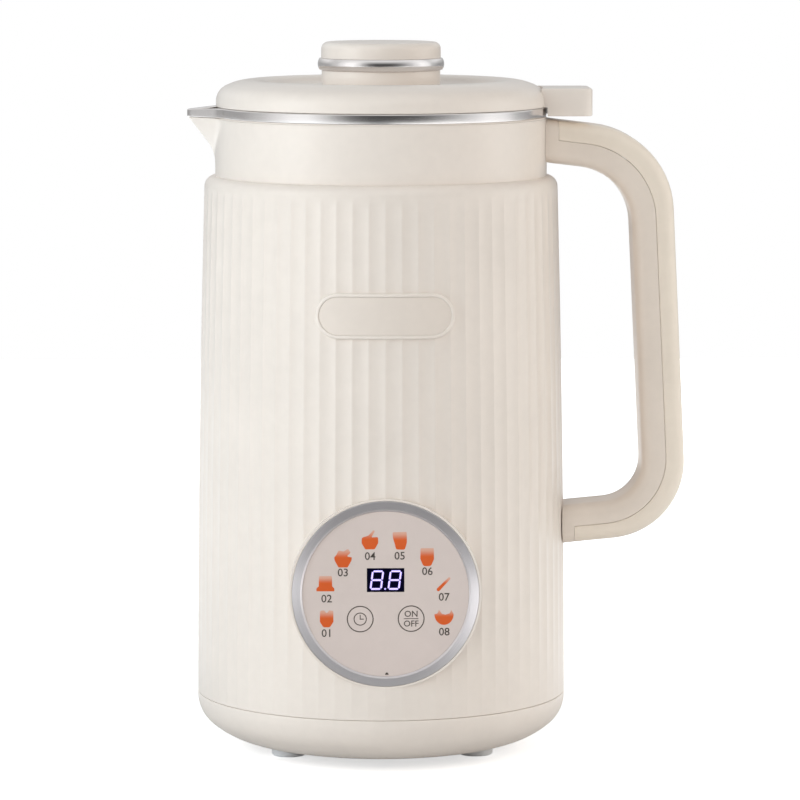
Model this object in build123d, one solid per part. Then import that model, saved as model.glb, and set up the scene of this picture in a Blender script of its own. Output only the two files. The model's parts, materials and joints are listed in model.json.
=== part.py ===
from build123d import *
from math import acos, atan2, cos, degrees, hypot, radians, sin, sqrt
import os

os.makedirs("parts", exist_ok=True)

# A jug-shaped soy milk maker: a fluted casing over a bowl-shaped base, a steel vessel with a pouring
# spout, a motor with a cross blade below it, a lift-off lid with a turning vent knob, and a handle.
# Sizes are in millimetres. The table is at height zero, the front faces -Y and the handle is at +X.

UPWARD = (Align.CENTER, Align.CENTER, Align.MIN)
FRONT, REAR = -90, 90

# Clearances that every sub-part shares
fit_gap = 0.15
seat_gap = 0.3
press_gap = 0.05
running_gap = 0.06
line_gap = 0.25
overrun = 3.0
casing_wall = 2.4

# Base bowl and feet
foot_count = 3
foot_r = 6.5
foot_stand = 4.0
foot_pocket = 0.8
foot_bevel = 0.7
foot_inset = 31.0
base_side_reach = 25.5
base_round_height = 18.0
base_side_round = 13.5
base_inside_shares = (0, 0.25, 0.5, 0.75, 1)
base_rim_height = 1.4
base_tongue_height = 6.0
base_tongue_wall = 2.0
vent_count = 18
vent_inner_r = 13.0
vent_outer_r = 30.0
vent_width = 2.8
base_screw_count = 3
base_screw_inset = 28.5
base_screw_r = 1.6
base_screw_head_r = 3.2
base_screw_head_height = 2.2
base_screw_length = 20.0
base_tower_r = 5.0
base_tower_height = 9.0
shell_boss_r = 4.2
shell_boss_height = 13.0
shell_rib_height = 6.5
shell_rib_width = 2.2

# Casing: outer radius at the seam and its step in to the shoulder
body_r = 75.5
shoulder_step = 3.55
body_taper_power = 1.65
shell_height = 213.0
seam_gap = 0.4
flute_count = 70
flute_depth = 0.53
flute_runout = 6.5
flute_station_shares = (0, 0.34, 0.7)

# Neck and spout guard
neck_step = 4.45
neck_wall = 2.5
neck_height = 22.1
spigot_depth = 6.0
spout_reach = 10.6
spout_guard_height = 18.4
spout_root_angle = 19.0
spout_nose_r = 5.6
spout_guard_wall = 1.8
spout_rise_shares = ((0, -0.02), (0.2, 0.05), (0.4, 0.2), (0.7, 0.6), (1, 1))
spout_spread_shares = (0.35, 0.5, 0.66, 0.85, 1)

# Steel vessel
vessel_air_gap = 5.7
vessel_wall = 0.8
vessel_floor_z = 124.0
vessel_corner_r = 15.0
flare_height = 5.0
flare_drop = 3.0
flare_reach = 2.9
rim_inset = 0.2
rim_height = 4.0
rim_round = 1.1
gasket_height = 0.5
lip_reach = 0.7
steel_spout_drop = 15.5

# Control panel
panel_centre_z = 74.6
panel_recess = 0.3
bezel_r = 37.0
bezel_inner_r = 33.0
bezel_proud = 0.75
panel_thickness = 1.8
panel_lip = 0.9
panel_boss_recess = 0.15
panel_boss_depth = 17.0
panel_ledge_r = 31.0
panel_ledge_thickness = 1.9
panel_rear_bore_r = 35.0
board_thickness = 1.6
board_post_height = 3.0
board_post_r = 1.7
board_post_circle_r = 32.9
display_rise = 5.6
display_width = 14.9
display_height = 9.6
display_lens_thickness = 1.0
display_flange = 2.0
key_offset_x = 10.05
key_drop = 9.75
contact_r = 4.2
contact_wall = 0.5
lamp_circle_r = 23.0
lamp_count = 8
lamp_start_angle = -22.0
lamp_step_angle = 32.0
lamp_size = 3.0
lamp_height = 1.4

# Badge, a bare plate in a raised oval frame
badge_centre_z = 183.7
badge_width = 53.0
badge_height = 18.6
badge_rim = 2.2
badge_proud = 1.1
badge_plate_proud = 0.35
badge_seat_depth = 1.0

# Handle
handle_width = 26.0
handle_depth = 18.6
handle_cover_depth = 7.0
handle_top_drop = 0.3
handle_top_slope = 0.103
handle_stand_top = 44.3
handle_stand_bottom = 48.7
handle_lean_height = 99.0
handle_lean_base_z = 120.3
handle_root_bottom_z = 83.8
handle_bottom_slope = 0.116
handle_outer_bend_r = 31.0
handle_seam_bend_r = 27.0
handle_inner_bend_r = 17.0
handle_grip_round = 3.5
handle_root_depth = 7.5
cover_start_top = 4.3
cover_start_bottom = 4.4
handle_screw_spread = 16.0
handle_screw_r = 1.6
handle_screw_head_r = 3.0
handle_screw_head_height = 2.0
handle_screw_length = 8.5
switch_length = 14.0
switch_r = 1.4
switch_skin = 1.4
switch_offset = 3.0

# Lid
lid_inset = 0.2
lid_edge_straight = 2.2
lid_edge_width = 14.1
lid_crown = 9.0
lid_edge_round = 6.0
lid_dish_depth = 2.7
lid_dish_r = 28.0
lid_wall = 2.2
lid_inside_shares = (0, 0.3, 0.6, 1)
lug_length = 18.9
lug_width = 28.0
lug_drop = 2.4
lug_height = 10.4
lug_round = 3.5
lug_rim_clearance = 1.2
liner_clearance = 1.8
liner_depth = 17.0
liner_plate = 2.4
liner_skirt_wall = 2.2
liner_flange_lap = 0.5
liner_flange_thickness = 2.0
liner_flange_lift = 0.6
seal_rise = 6.0
seal_height = 4.0
seal_lip = 1.4
lid_screw_count = 3
lid_screw_inset = 13.2
lid_screw_r = 1.5
lid_screw_head_r = 2.8
lid_screw_head_height = 1.6
lid_screw_length = 10.0
lid_boss_r = 3.6
magnet_r = 4.0
magnet_height = 3.0
magnet_inset = 9.0

# Vent knob and valve
cap_r = 24.6
knob_base_height = 5.9
knob_base_r = 25.0
knob_hole_r = 20.0
knob_stem_wall = 3.0
knob_stem_drop = 6.4
bayonet_reach = 2.4
bayonet_turn = 60.0
bayonet_height = 1.8
bayonet_arc = 40.0
bayonet_play_angle = 1.8
band_r = 26.5
band_edge_r = 25.4
band_height = 4.6
band_inner_r = 21.5
cap_height = 6.6
cap_round = 2.8
cap_wall = 2.5
nozzle_r = 3.5
nozzle_bore_r = 1.5
nozzle_height = 13.0
nozzle_gap = 0.4
weight_r = 8.0
weight_height = 11.0
weight_bevel = 0.6
weight_lap = 4.0
weight_lift = 3.0
stop_r = 4.0

# Heater below the vessel
plate_inset = 9.0
plate_thickness = 4.0
plate_hole_r = 19.0
stud_count = 4
stud_r = 3.0
stud_inset = 5.0
stud_length = 22.0
stud_nut_r = 4.6
stud_nut_height = 2.2
tube_inset = 14.0
tube_r = 3.6
tube_arc = 300.0
terminal_r = 2.0
terminal_length = 9.0
terminal_inset = 1.3
sensor_r = 3.6
sensor_height = 8.0
sensor_inset = 11.0
sensor_angles = (200.0, 340.0)

# Shaft seat through the vessel floor
sleeve_flange_r = 13.0
sleeve_flange_height = 2.5
sleeve_flange_bevel = 1.0
sleeve_r = 9.0
sleeve_drop = 14.0
sleeve_bore_r = 6.6
sleeve_land = 2.5
seat_nut_r = 14.0
seat_nut_height = 5.0
bush_height = 7.0
seal_ring_height = 5.0

# Motor
shaft_r = 4.0
shaft_bottom_z = 24.0
shaft_thread_length = 6.0
shaft_collar_rise = 11.0
shaft_collar_r = 7.0
shaft_collar_height = 3.0
shaft_thread_r = 3.0
stator_r = 36.0
stator_bore_r = 20.5
motor_drop = 56.2
stator_height = 30.0
coil_inner_r = 23.0
coil_outer_r = 30.0
coil_leg_angle = 20.0
coil_window_angle = 90.0
coil_overhang = 7.0
rotor_r = 20.0
rotor_slot_count = 12
rotor_slot_r = 1.7
rotor_slot_circle_r = 16.5
winding_r = 18.6
winding_inner_r = 8.0
winding_overhang = 5.5
commutator_r = 11.0
commutator_height = 9.0
commutator_gap = 1.0
commutator_slot_width = 0.6
bracket_thickness = 2.5
bracket_post_inner_r = 30.7
bracket_post_arc = 20.0
bracket_post_angles = (0, 90, 180, 270)
bracket_post_height = 19.5
upper_post_height = 8.5
bracket_hub_wall = 2.5
bracket_vent_arc = 40.0
bracket_vent_gap = 2.4
bearing_r = 8.0
bearing_height = 5.0
bracket_hub_drop = 4.5
bracket_hub_rise = 7.5
bearing_lip = 1.0
bearing_lip_r = 5.5
ear_r = 7.5
grommet_r = 5.4
grommet_neck_r = 4.3
grommet_overlap = 1.6
long_screw_r = 1.4
long_screw_head_r = 2.6
long_screw_head_height = 1.6
long_screw_circle_r = 33.4
brush_width = 6.0
brush_height = 6.0
brush_outer_r = 28.0
brush_foot = 1.4
fan_r = 30.0
fan_disc_thickness = 1.6
fan_height = 9.0
fan_blade_count = 11
fan_blade_thickness = 1.2
fan_hub_r = 8.0
fan_bottom_z = 26.0
duct_r = 31.5
duct_wall = 1.8
duct_height = 28.0

# Blade above the vessel floor
blade_hub_r = 8.0
blade_thickness = 1.4
blade_root_width = 9.0
blade_tip_width = 5.0
blade_reach = 27.0
blade_bevel = 0.9
blade_tilts = (26.0, -12.0, 26.0, -12.0)
blade_nut_r = 6.2
blade_nut_height = 5.5

# Power board beside the motor
power_board_inset = 25.5
power_board_width = 52.0
power_board_height = 58.0
power_board_bottom_z = 30.0
power_post_width = 8.0
power_post_depth = 6.0
power_post_top_z = 37.0
power_post_spread = 38.0
relay_size = (10.0, 12.0, 15.0)
transformer_size = (12.0, 22.0, 18.0)
capacitor_r = 5.0
capacitor_length = 14.0

# Power inlet low on the back
inlet_z = 44.0
inlet_width = 28.0
inlet_height = 21.0
inlet_recess = 1.5
inlet_depth = 20.0
inlet_wall = 2.0
inlet_corner_r = 2.5
inlet_floor = 2.5
inlet_flange_width = 44.0
inlet_flange_height = 26.0
inlet_flange_thickness = 2.0
inlet_flange_setback = 8.0
pin_width = 2.0
pin_height = 4.0
pin_length = 11.0
pin_tail = 6.0
pin_spacing = 7.0
pin_low_rise = -1.2
pin_earth_rise = 2.8
inlet_screw_spread = 37.0
inlet_screw_r = 1.5
inlet_screw_head_r = 2.7
inlet_screw_head_height = 1.6
inlet_screw_length = 6.0

# Overflow electrode in the vessel wall
electrode_drop = 17.9
electrode_r = 1.8
electrode_reach = 9.0
electrode_tail = 2.0
electrode_gasket_r = 3.2
electrode_gasket_lip = 0.9

# Radii and places that follow from the sizes above
shoulder_r = body_r - shoulder_step
neck_r = shoulder_r - neck_step
vessel_r = neck_r - vessel_air_gap - vessel_wall
rim_inner_r = vessel_r + flare_reach
rim_outer_r = neck_r - rim_inset
base_flat_r = body_r - base_side_reach
base_screw_circle_r = body_r - base_screw_inset
foot_circle_r = body_r - foot_inset
lid_r = rim_outer_r - lid_inset
lid_crest_r = lid_r - lid_edge_width
lug_reach = lid_r + lug_length
liner_r = vessel_r - liner_clearance
liner_flange_r = rim_inner_r + liner_flange_lap
lid_screw_circle_r = liner_r - lid_screw_inset
magnet_x = lug_reach - magnet_inset
switch_x = magnet_x + switch_offset
plate_r = vessel_r - plate_inset
stud_circle_r = plate_r - stud_inset
tube_ring_r = plate_r - tube_inset
sensor_circle_r = tube_ring_r - sensor_inset
power_board_x = power_board_inset - body_r
panel_front_y = panel_recess - body_r
panel_boss_front_y = panel_boss_recess - body_r
inlet_front_y = body_r - inlet_recess
inlet_flange_y = inlet_front_y - inlet_flange_setback
handle_reach_top = body_r + handle_stand_top
handle_reach_bottom = body_r + handle_stand_bottom
handle_root_x = neck_r - handle_root_depth
cover_start_top_x = neck_r + cover_start_top
cover_start_bottom_x = body_r + cover_start_bottom
handle_far_x = max(handle_reach_top, handle_reach_bottom) + overrun

# Heights that follow from the sizes above
base_bottom_z = foot_stand
base_round_top_z = base_bottom_z + base_round_height
base_top_z = base_round_top_z + base_rim_height
shell_bottom_z = base_top_z + seam_gap
shell_top_z = shell_bottom_z + shell_height
flute_top_z = shell_top_z - neck_step
neck_top_z = shell_top_z + neck_height
rim_bottom_z = neck_top_z + gasket_height
handle_root_top_z = neck_top_z - handle_top_drop
electrode_z = rim_bottom_z - electrode_drop
rim_top_z = rim_bottom_z + rim_height
lid_bottom_z = rim_top_z + seat_gap
lid_crest_z = lid_bottom_z + lid_edge_straight + lid_crown
lid_dish_z = lid_crest_z - lid_dish_depth
knob_bottom_z = lid_dish_z + seat_gap
band_bottom_z = knob_bottom_z + knob_base_height
cap_bottom_z = band_bottom_z + band_height
cap_top_z = cap_bottom_z + cap_height
liner_top_z = rim_top_z + liner_flange_lift + liner_flange_thickness
liner_bottom_z = liner_top_z - liner_depth - liner_flange_thickness
nozzle_top_z = liner_bottom_z + liner_plate + nozzle_height
weight_bottom_z = nozzle_top_z - weight_lap
plate_bottom_z = vessel_floor_z - vessel_wall - plate_thickness
sleeve_bottom_z = vessel_floor_z - sleeve_drop
shaft_collar_top_z = vessel_floor_z + shaft_collar_rise
shaft_top_z = shaft_collar_top_z + shaft_thread_length
stator_bottom_z = plate_bottom_z - motor_drop
stator_top_z = stator_bottom_z + stator_height
lower_bracket_z = stator_bottom_z - bracket_post_height - bracket_thickness
upper_bracket_z = stator_top_z + upper_post_height
panel_back_y = panel_front_y + panel_thickness
board_front_y = panel_back_y + panel_ledge_thickness + board_post_height
base_floor_z = base_bottom_z + casing_wall
spigot_r = neck_r - casing_wall


# Shared helpers
def polar(radius, angle, z=0):
    """Point at a radius and an angle in degrees."""
    return (radius * cos(radians(angle)), radius * sin(radians(angle)), z)


def tube(outer_r, inner_r, bottom, top):
    """Upright tube or, with no inner radius, rod between two heights."""
    solid = Cylinder(outer_r, top - bottom, align=UPWARD)
    if inner_r > 0:
        solid -= Cylinder(inner_r, top - bottom, align=UPWARD)
    return Pos(0, 0, bottom) * solid


def turned(points, radii=0):
    """Solid of revolution about the Z axis from (radius, height) points with rounded corners."""
    if radii == 0:
        return revolve(Plane.XZ * make_face(Polyline(*points, close=True)), Axis.Z)
    return revolve(Plane.XZ * make_face(FilletPolyline(*points, radius=radii, close=True)), Axis.Z)


def oval_quarter(centre, width, height, side_r, grow=0):
    """Quarter of an oval in two tangent arcs, from the middle of its end towards its side."""
    crown_r = (width ** 2 + height ** 2 - 2 * width * side_r) / (2 * (height - side_r))
    x, y = centre
    side_x, crown_y = x + width - side_r, y + height - crown_r
    lean = atan2(y - crown_y, side_x - x)
    side_r, crown_r = side_r + grow, crown_r + grow
    meet = (side_x + side_r * cos(lean), y + side_r * sin(lean))
    side = ThreePointArc((side_x + side_r, y), (side_x + side_r * cos(lean / 2), y + side_r * sin(lean / 2)),
                         meet)
    middle = (lean + radians(90)) / 2
    crown = ThreePointArc(meet, (x + crown_r * cos(middle), crown_y + crown_r * sin(middle)),
                          (x, crown_y + crown_r))
    return side + crown


def chords(curve, shares):
    """Straight runs between points on a curve."""
    return Polyline(*[curve @ share for share in shares])


def s_curve(start, end):
    """Two equal arcs that leave and arrive level."""
    middle = ((start[0] + end[0]) / 2, (start[1] + end[1]) / 2)
    level = (end[0] - start[0], 0)
    return TangentArc(start, middle, tangent=level) + TangentArc(end, middle, tangent=(-level[0], 0))


def block(low, high):
    """Box between two corners."""
    size = [b - a for a, b in zip(low, high)]
    middle = [(a + b) / 2 for a, b in zip(low, high)]
    return Pos(*middle) * Box(*size)


def facing(radius, y_start, y_end, x=0, z=0):
    """Rod along Y between two depths."""
    length = abs(y_end - y_start)
    return Pos(x, (y_start + y_end) / 2, z) * Rot(90, 0, 0) * Cylinder(radius, length)


def sideways(radius, x_start, x_end, y=0, z=0):
    """Rod along X between two places."""
    length = abs(x_end - x_start)
    return Pos((x_start + x_end) / 2, y, z) * Rot(0, 90, 0) * Cylinder(radius, length)


def sector(outer_r, inner_r, start, sweep, bottom, top):
    """Upright piece of a tube between two angles."""
    steps = 4
    reach = (outer_r + overrun) / cos(radians(sweep / steps))
    corners = [(0, 0)] + [polar(reach, start + sweep * k / steps)[:2] for k in range(steps + 1)]
    wedge = extrude(make_face(Polyline(*corners, close=True)), top - bottom)
    return tube(outer_r, inner_r, bottom, top) & (Pos(0, 0, bottom) * wedge)


def around(solid, count, start=0):
    """Copies of a solid, evenly spaced about the Z axis."""
    return [Rot(0, 0, start + 360 * k / count) * solid for k in range(count)]


def joined(solids):
    """One shape from several solids."""
    return Part() + solids


def body_radius(z):
    """Outer radius over the flute ridges at a height."""
    share = (z - shell_bottom_z) / (flute_top_z - shell_bottom_z)
    return body_r - (body_r - shoulder_r) * min(max(share, 0), 1) ** body_taper_power


def casing_stations():
    """Heights at which the casing's outline is set."""
    runout_z = flute_top_z - flute_runout
    run = runout_z - shell_bottom_z
    return [shell_bottom_z + share * run for share in flute_station_shares] + [runout_z]


def casing_core(offset):
    """Solid that follows the casing's ridges at an offset, running past both ends."""
    heights = casing_stations() + [flute_top_z]
    wall = [(body_radius(z) + offset, z) for z in heights]
    foot = [(0, shell_bottom_z - overrun), (wall[0][0], shell_bottom_z - overrun)]
    return turned(foot + wall + [(shoulder_r + offset, shell_top_z + overrun), (0, shell_top_z + overrun)])


# Casing
def flute_section(z, depth):
    """Face across the fluted tube at a height, with a ridge on the front line."""
    ridge = body_radius(z)
    pitch = 360 / flute_count
    edges = []
    for k in range(flute_count):
        start = FRONT + k * pitch
        valley = polar(ridge - depth, start + pitch / 2)
        edges.append(ThreePointArc(polar(ridge, start), valley, polar(ridge, start + pitch)))
    return Pos(0, 0, z) * make_face(edges)


def fluted_tube():
    """Outer form of the casing: flutes that run out below a rounded shoulder."""
    sections = [flute_section(z, flute_depth) for z in casing_stations()]
    sections.append(flute_section(flute_top_z, 0))
    flutes = loft(sections, ruled=True)
    shoulder = Line((0, flute_top_z), (shoulder_r, flute_top_z))
    shoulder += CenterArc((neck_r, flute_top_z), neck_step, 0, 90)
    shoulder += Polyline((neck_r, shell_top_z), (0, shell_top_z), (0, flute_top_z))
    return flutes + revolve(Plane.XZ * make_face(shoulder), Axis.Z)


def casing_hollow():
    """Space inside the casing."""
    inset = flute_depth + casing_wall
    wall = [(body_radius(z) - inset, z) for z in casing_stations() + [flute_top_z]]
    roof_z = shell_top_z - casing_wall
    start = [(0, shell_bottom_z - overrun), (wall[0][0], shell_bottom_z - overrun)]
    return turned(start + wall + [(neck_r - fit_gap, roof_z), (0, roof_z)])


def stadium(width, height, y_start, y_end, z):
    """Long oval bar along Y."""
    outline = Rot(90, 0, 0) * SlotOverall(width, height)
    return Pos(0, y_end, z) * extrude(outline, abs(y_end - y_start))


def shell_bosses():
    """Screw bosses inside the casing's lower edge, each on a rib from the wall."""
    top_z = shell_bottom_z + shell_boss_height
    bottom_z = base_floor_z + base_tower_height
    boss = Pos(base_screw_circle_r, 0, 0) * tube(shell_boss_r, base_screw_r, bottom_z, top_z)
    rib_start = base_screw_circle_r + base_screw_r + fit_gap
    rib_end = body_r - flute_depth - casing_wall / 2
    half = shell_rib_width / 2
    rib = block((rib_start, -half, top_z - shell_rib_height), (rib_end, half, top_z))
    return around(boss + rib, base_screw_count, FRONT)


def outer_shell():
    """Fluted casing with panel boss, badge seat, inlet opening and screw bosses."""
    boss_r = bezel_r + panel_lip
    boss_back_y = panel_boss_front_y + panel_boss_depth
    solid = fluted_tube() + facing(boss_r, panel_boss_front_y, boss_back_y, z=panel_centre_z)
    pad_half = (inlet_flange_width / 2, inlet_flange_height / 2)
    pad_y = inlet_flange_y + inlet_flange_thickness
    pad = block((-pad_half[0], pad_y, inlet_z - pad_half[1]), (pad_half[0], body_r, inlet_z + pad_half[1]))
    solid -= casing_hollow()
    solid += pad & casing_core(-flute_depth)
    solid -= tube(spigot_r + fit_gap, 0, flute_top_z - overrun, shell_top_z + overrun)
    solid -= facing(bezel_r + fit_gap / 2, panel_boss_front_y - overrun, panel_back_y, z=panel_centre_z)
    solid -= facing(panel_ledge_r, panel_back_y, boss_back_y + overrun, z=panel_centre_z)
    ledge_back_y = panel_back_y + panel_ledge_thickness
    solid -= facing(panel_rear_bore_r, ledge_back_y, boss_back_y + overrun, z=panel_centre_z)
    for k in range(3):
        x, z, _ = polar(board_post_circle_r, REAR + k * 120)
        solid += facing(board_post_r, panel_back_y, board_front_y, x, panel_centre_z + z)
    solid += shell_bosses()
    seat = stadium(badge_width + 2 * fit_gap, badge_height + 2 * fit_gap, -body_r - overrun, 0,
                   badge_centre_z)
    solid -= seat - casing_core(-badge_seat_depth)
    opening = (inlet_width / 2 + fit_gap, inlet_height / 2 + fit_gap)
    solid -= block((-opening[0], inlet_flange_y, inlet_z - opening[1]),
                   (opening[0], body_r + overrun, inlet_z + opening[1]))
    for side in (-1, 1):
        solid -= facing(inlet_screw_r + fit_gap, pad_y - overrun, pad_y + inlet_screw_length,
                        side * inlet_screw_spread / 2, inlet_z)
    for y in handle_screw_rows():
        solid -= sideways(handle_screw_r + fit_gap, handle_root_x, body_r + overrun, y, handle_foot_z())
    return solid


# Base
def bowl_solid(offset, top_z):
    """Solid bowl at an inward offset."""
    bottom_z, side_r = base_bottom_z + offset, body_r - offset
    round_edge = oval_quarter((base_flat_r, 0), body_r - base_flat_r, base_round_height, base_side_round,
                              -offset)
    if offset > 0:
        round_edge = chords(round_edge, base_inside_shares)
    line = Pos(0, base_round_top_z) * mirror(round_edge, Plane.XZ)
    line += Polyline((side_r, base_round_top_z), (side_r, top_z), (0, top_z), (0, bottom_z),
                     (base_flat_r, bottom_z))
    return revolve(Plane.XZ * make_face(line), Axis.Z)


def base_bowl():
    """Bowl with a tongue into the casing, vents, foot pockets, screw towers and board posts."""
    tongue_r = body_r - flute_depth - casing_wall - fit_gap
    tongue_top_z = shell_bottom_z + base_tongue_height
    solid = bowl_solid(0, base_top_z) - bowl_solid(casing_wall, base_top_z + overrun)
    solid += tube(body_r - casing_wall / 2, tongue_r - base_tongue_wall, base_round_top_z - casing_wall,
                  base_top_z)
    solid += tube(tongue_r, tongue_r - base_tongue_wall, base_top_z, tongue_top_z)
    root_z, tower_top_z = base_bottom_z + casing_wall / 2, base_floor_z + base_tower_height
    tower = Pos(base_screw_circle_r, 0, 0) * tube(base_tower_r, 0, root_z, tower_top_z)
    solid += around(tower, base_screw_count, FRONT)
    half_depth, half_width = power_post_depth / 2, power_post_width / 2
    for side in (-1, 1):
        y = side * power_post_spread / 2
        solid += block((power_board_x - half_depth, y - half_width, root_z),
                       (power_board_x + half_depth, y + half_width, power_post_top_z))
    slot_half = board_thickness / 2 + fit_gap
    solid -= block((power_board_x - slot_half, -power_board_width / 2, power_board_bottom_z),
                   (power_board_x + slot_half, power_board_width / 2, power_post_top_z + overrun))
    vent = block((vent_inner_r, -vent_width / 2, base_bottom_z - overrun),
                 (vent_outer_r, vent_width / 2, base_floor_z + overrun))
    solid -= around(vent, vent_count)
    pocket = tube(foot_r + fit_gap, 0, base_bottom_z - overrun, base_bottom_z + foot_pocket)
    solid -= around(Pos(foot_circle_r, 0, 0) * pocket, foot_count, REAR)
    head_z = base_bottom_z + base_screw_head_height + foot_pocket
    hole = tube(base_screw_head_r + fit_gap, 0, base_bottom_z - overrun, head_z)
    hole += tube(base_screw_r + fit_gap, 0, base_bottom_z, tower_top_z + overrun)
    solid -= around(Pos(base_screw_circle_r, 0, 0) * hole, base_screw_count, FRONT)
    return solid


def base_screws():
    """Screws from below through the bowl's towers into the casing's bosses."""
    head_z = base_bottom_z + foot_pocket
    seat_z = head_z + base_screw_head_height
    screw = tube(base_screw_head_r, 0, head_z, seat_z) + tube(base_screw_r, 0, seat_z,
                                                              seat_z + base_screw_length)
    return joined(around(Pos(base_screw_circle_r, 0, 0) * screw, base_screw_count, FRONT))


def rubber_feet():
    """Round pads with a bevelled edge, each in a shallow pocket."""
    top_z = base_bottom_z + foot_pocket
    pad = turned([(0, 0), (foot_r - foot_bevel, 0), (foot_r, foot_bevel), (foot_r, top_z), (0, top_z)])
    return joined(around(Pos(foot_circle_r, 0, 0) * pad, foot_count, REAR))


# Neck, spout guard and steel spout
def spout_section(z, root_r, tip_r, spread, inset):
    """Face across the spout: straight sides from the root to a round nose."""
    angle = radians(spout_root_angle * spread)
    root_x, root_y = -root_r * cos(angle), root_r * sin(angle) - inset
    nose_r = max(spout_nose_r * spread - inset, vessel_wall)
    nose_x = nose_r - tip_r
    run = root_x - nose_x
    lean = acos(nose_r / hypot(root_y, run)) - atan2(run, root_y)
    touch_x, touch_y = nose_x - nose_r * sin(lean), nose_r * cos(lean)
    back_x = root_x + overrun
    outline = Polyline((touch_x, -touch_y), (root_x, -root_y), (back_x, -root_y), (back_x, root_y),
                       (root_x, root_y), (touch_x, touch_y))
    outline += ThreePointArc((touch_x, touch_y), (nose_x - nose_r, 0), (touch_x, -touch_y))
    return Pos(0, 0, z) * make_face(outline)


def spout_form(bottom_z, top_z, root_r, start_r, reach, inset):
    """Solid that swells outward from a wall into the spout as it rises."""
    sections = []
    for (height, rise), spread in zip(spout_rise_shares, spout_spread_shares):
        z = bottom_z + height * (top_z - bottom_z)
        sections.append(spout_section(z, root_r, start_r + rise * reach, spread, inset))
    return loft(sections)


def spout_prism(bottom_z, top_z, root_r, tip_r, inset):
    """Solid of the spout's top outline between two heights."""
    return extrude(spout_section(bottom_z, root_r, tip_r, 1, inset), top_z - bottom_z)


def neck_collar():
    """Smooth collar on the shoulder, with the guard that stands below the steel spout."""
    root_r = neck_r - neck_wall / 2
    guard_z = neck_top_z - spout_guard_height
    solid = tube(neck_r, neck_r - neck_wall, shell_top_z, neck_top_z)
    solid += spout_form(guard_z, neck_top_z, root_r, neck_r, spout_reach, 0) - tube(
        neck_r - neck_wall, 0, guard_z - overrun, neck_top_z + overrun)
    inset = spout_guard_wall
    channel = spout_form(guard_z, neck_top_z, root_r - inset, neck_r - inset, spout_reach, inset)
    channel += spout_prism(neck_top_z, neck_top_z + overrun, root_r - inset, neck_r + spout_reach - inset,
                           inset)
    solid -= channel
    solid += tube(spigot_r, spigot_r - casing_wall, shell_top_z - spigot_depth, shell_top_z)
    for y in handle_screw_rows():
        solid -= sideways(handle_screw_r + fit_gap, handle_root_x, body_r, y, handle_head_z())
    return solid


def rim_gasket():
    """Flat ring between the neck and the vessel's rim."""
    ring = tube(neck_r - line_gap, neck_r - neck_wall, neck_top_z, rim_bottom_z)
    inset = spout_guard_wall
    return ring - spout_prism(neck_top_z - overrun, rim_bottom_z + overrun, neck_r - neck_wall - inset,
                              neck_r + spout_reach - inset, inset)


def steel_spout(offset, top_z):
    """Form of the steel spout, outside or, with the wall as offset, inside."""
    wall_r = vessel_r + vessel_wall
    inset = spout_guard_wall + fit_gap
    reach = neck_r + spout_reach - inset - wall_r
    bottom_z = rim_bottom_z - steel_spout_drop
    root_r = vessel_r + vessel_wall / 2 - offset
    form = spout_form(bottom_z, rim_bottom_z, root_r, wall_r - offset, reach, inset + offset)
    return form + spout_prism(rim_bottom_z, top_z, root_r, wall_r - offset + reach, inset + offset)


def inner_vessel():
    """Steel vessel with a flared mouth, a rolled rim band and a pouring spout."""
    wall_r = vessel_r + vessel_wall
    hole_r = sleeve_r + fit_gap
    flare_top_z = rim_bottom_z - flare_drop
    flare_bottom_z = flare_top_z - flare_height
    under_z = vessel_floor_z - vessel_wall
    corner = vessel_corner_r
    outline = [(hole_r, under_z), (wall_r, under_z), (wall_r, flare_bottom_z),
               (rim_inner_r + vessel_wall, flare_top_z), (rim_inner_r + vessel_wall, rim_bottom_z),
               (rim_outer_r, rim_bottom_z), (rim_outer_r, rim_top_z), (rim_inner_r, rim_top_z),
               (rim_inner_r, flare_top_z), (vessel_r, flare_bottom_z), (vessel_r, vessel_floor_z),
               (hole_r, vessel_floor_z)]
    rounds = [0, corner + vessel_wall, 0, 0, 0, 0, rim_round, rim_round, 0, 0, corner, 0]
    bowl = turned(outline, rounds)
    inside = turned([(0, vessel_floor_z), (vessel_r, vessel_floor_z), (vessel_r, flare_bottom_z),
                     (rim_inner_r, flare_top_z), (rim_inner_r, rim_top_z + overrun),
                     (0, rim_top_z + overrun)])
    spout = steel_spout(0, rim_top_z)
    spout += spout_prism(rim_bottom_z, rim_top_z, rim_inner_r + vessel_wall, neck_r + spout_reach + lip_reach,
                         0)
    solid = bowl + (spout - inside)
    solid -= steel_spout(vessel_wall, rim_top_z + overrun)
    solid -= sideways(electrode_gasket_r - electrode_gasket_lip, vessel_r - overrun, wall_r + overrun, 0,
                      electrode_z)
    return solid


# Heater and shaft seat
def heating_plate():
    """Aluminium disc under the vessel with the motor's studs."""
    solid = tube(plate_r, plate_hole_r, plate_bottom_z, plate_bottom_z + plate_thickness)
    stud = Pos(stud_circle_r, 0, 0) * tube(stud_r, 0, plate_bottom_z - stud_length, plate_bottom_z)
    return solid + around(stud, stud_count, 180 / stud_count)


def heating_tube():
    """Open ring of heating tube with a terminal at each end."""
    z = plate_bottom_z - fit_gap - tube_r
    start = REAR + (360 - tube_arc) / 2
    section = Plane(origin=polar(tube_ring_r, start, z), z_dir=polar(1, start + REAR)) * Circle(tube_r)
    ring = revolve(section, Axis.Z, tube_arc)
    inward = degrees(terminal_inset / tube_ring_r)
    for angle in (start + inward, start + tube_arc - inward):
        x, y, _ = polar(tube_ring_r, angle)
        ring += Pos(x, y, 0) * tube(terminal_r, 0, z - terminal_length, z)
    return ring


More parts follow.
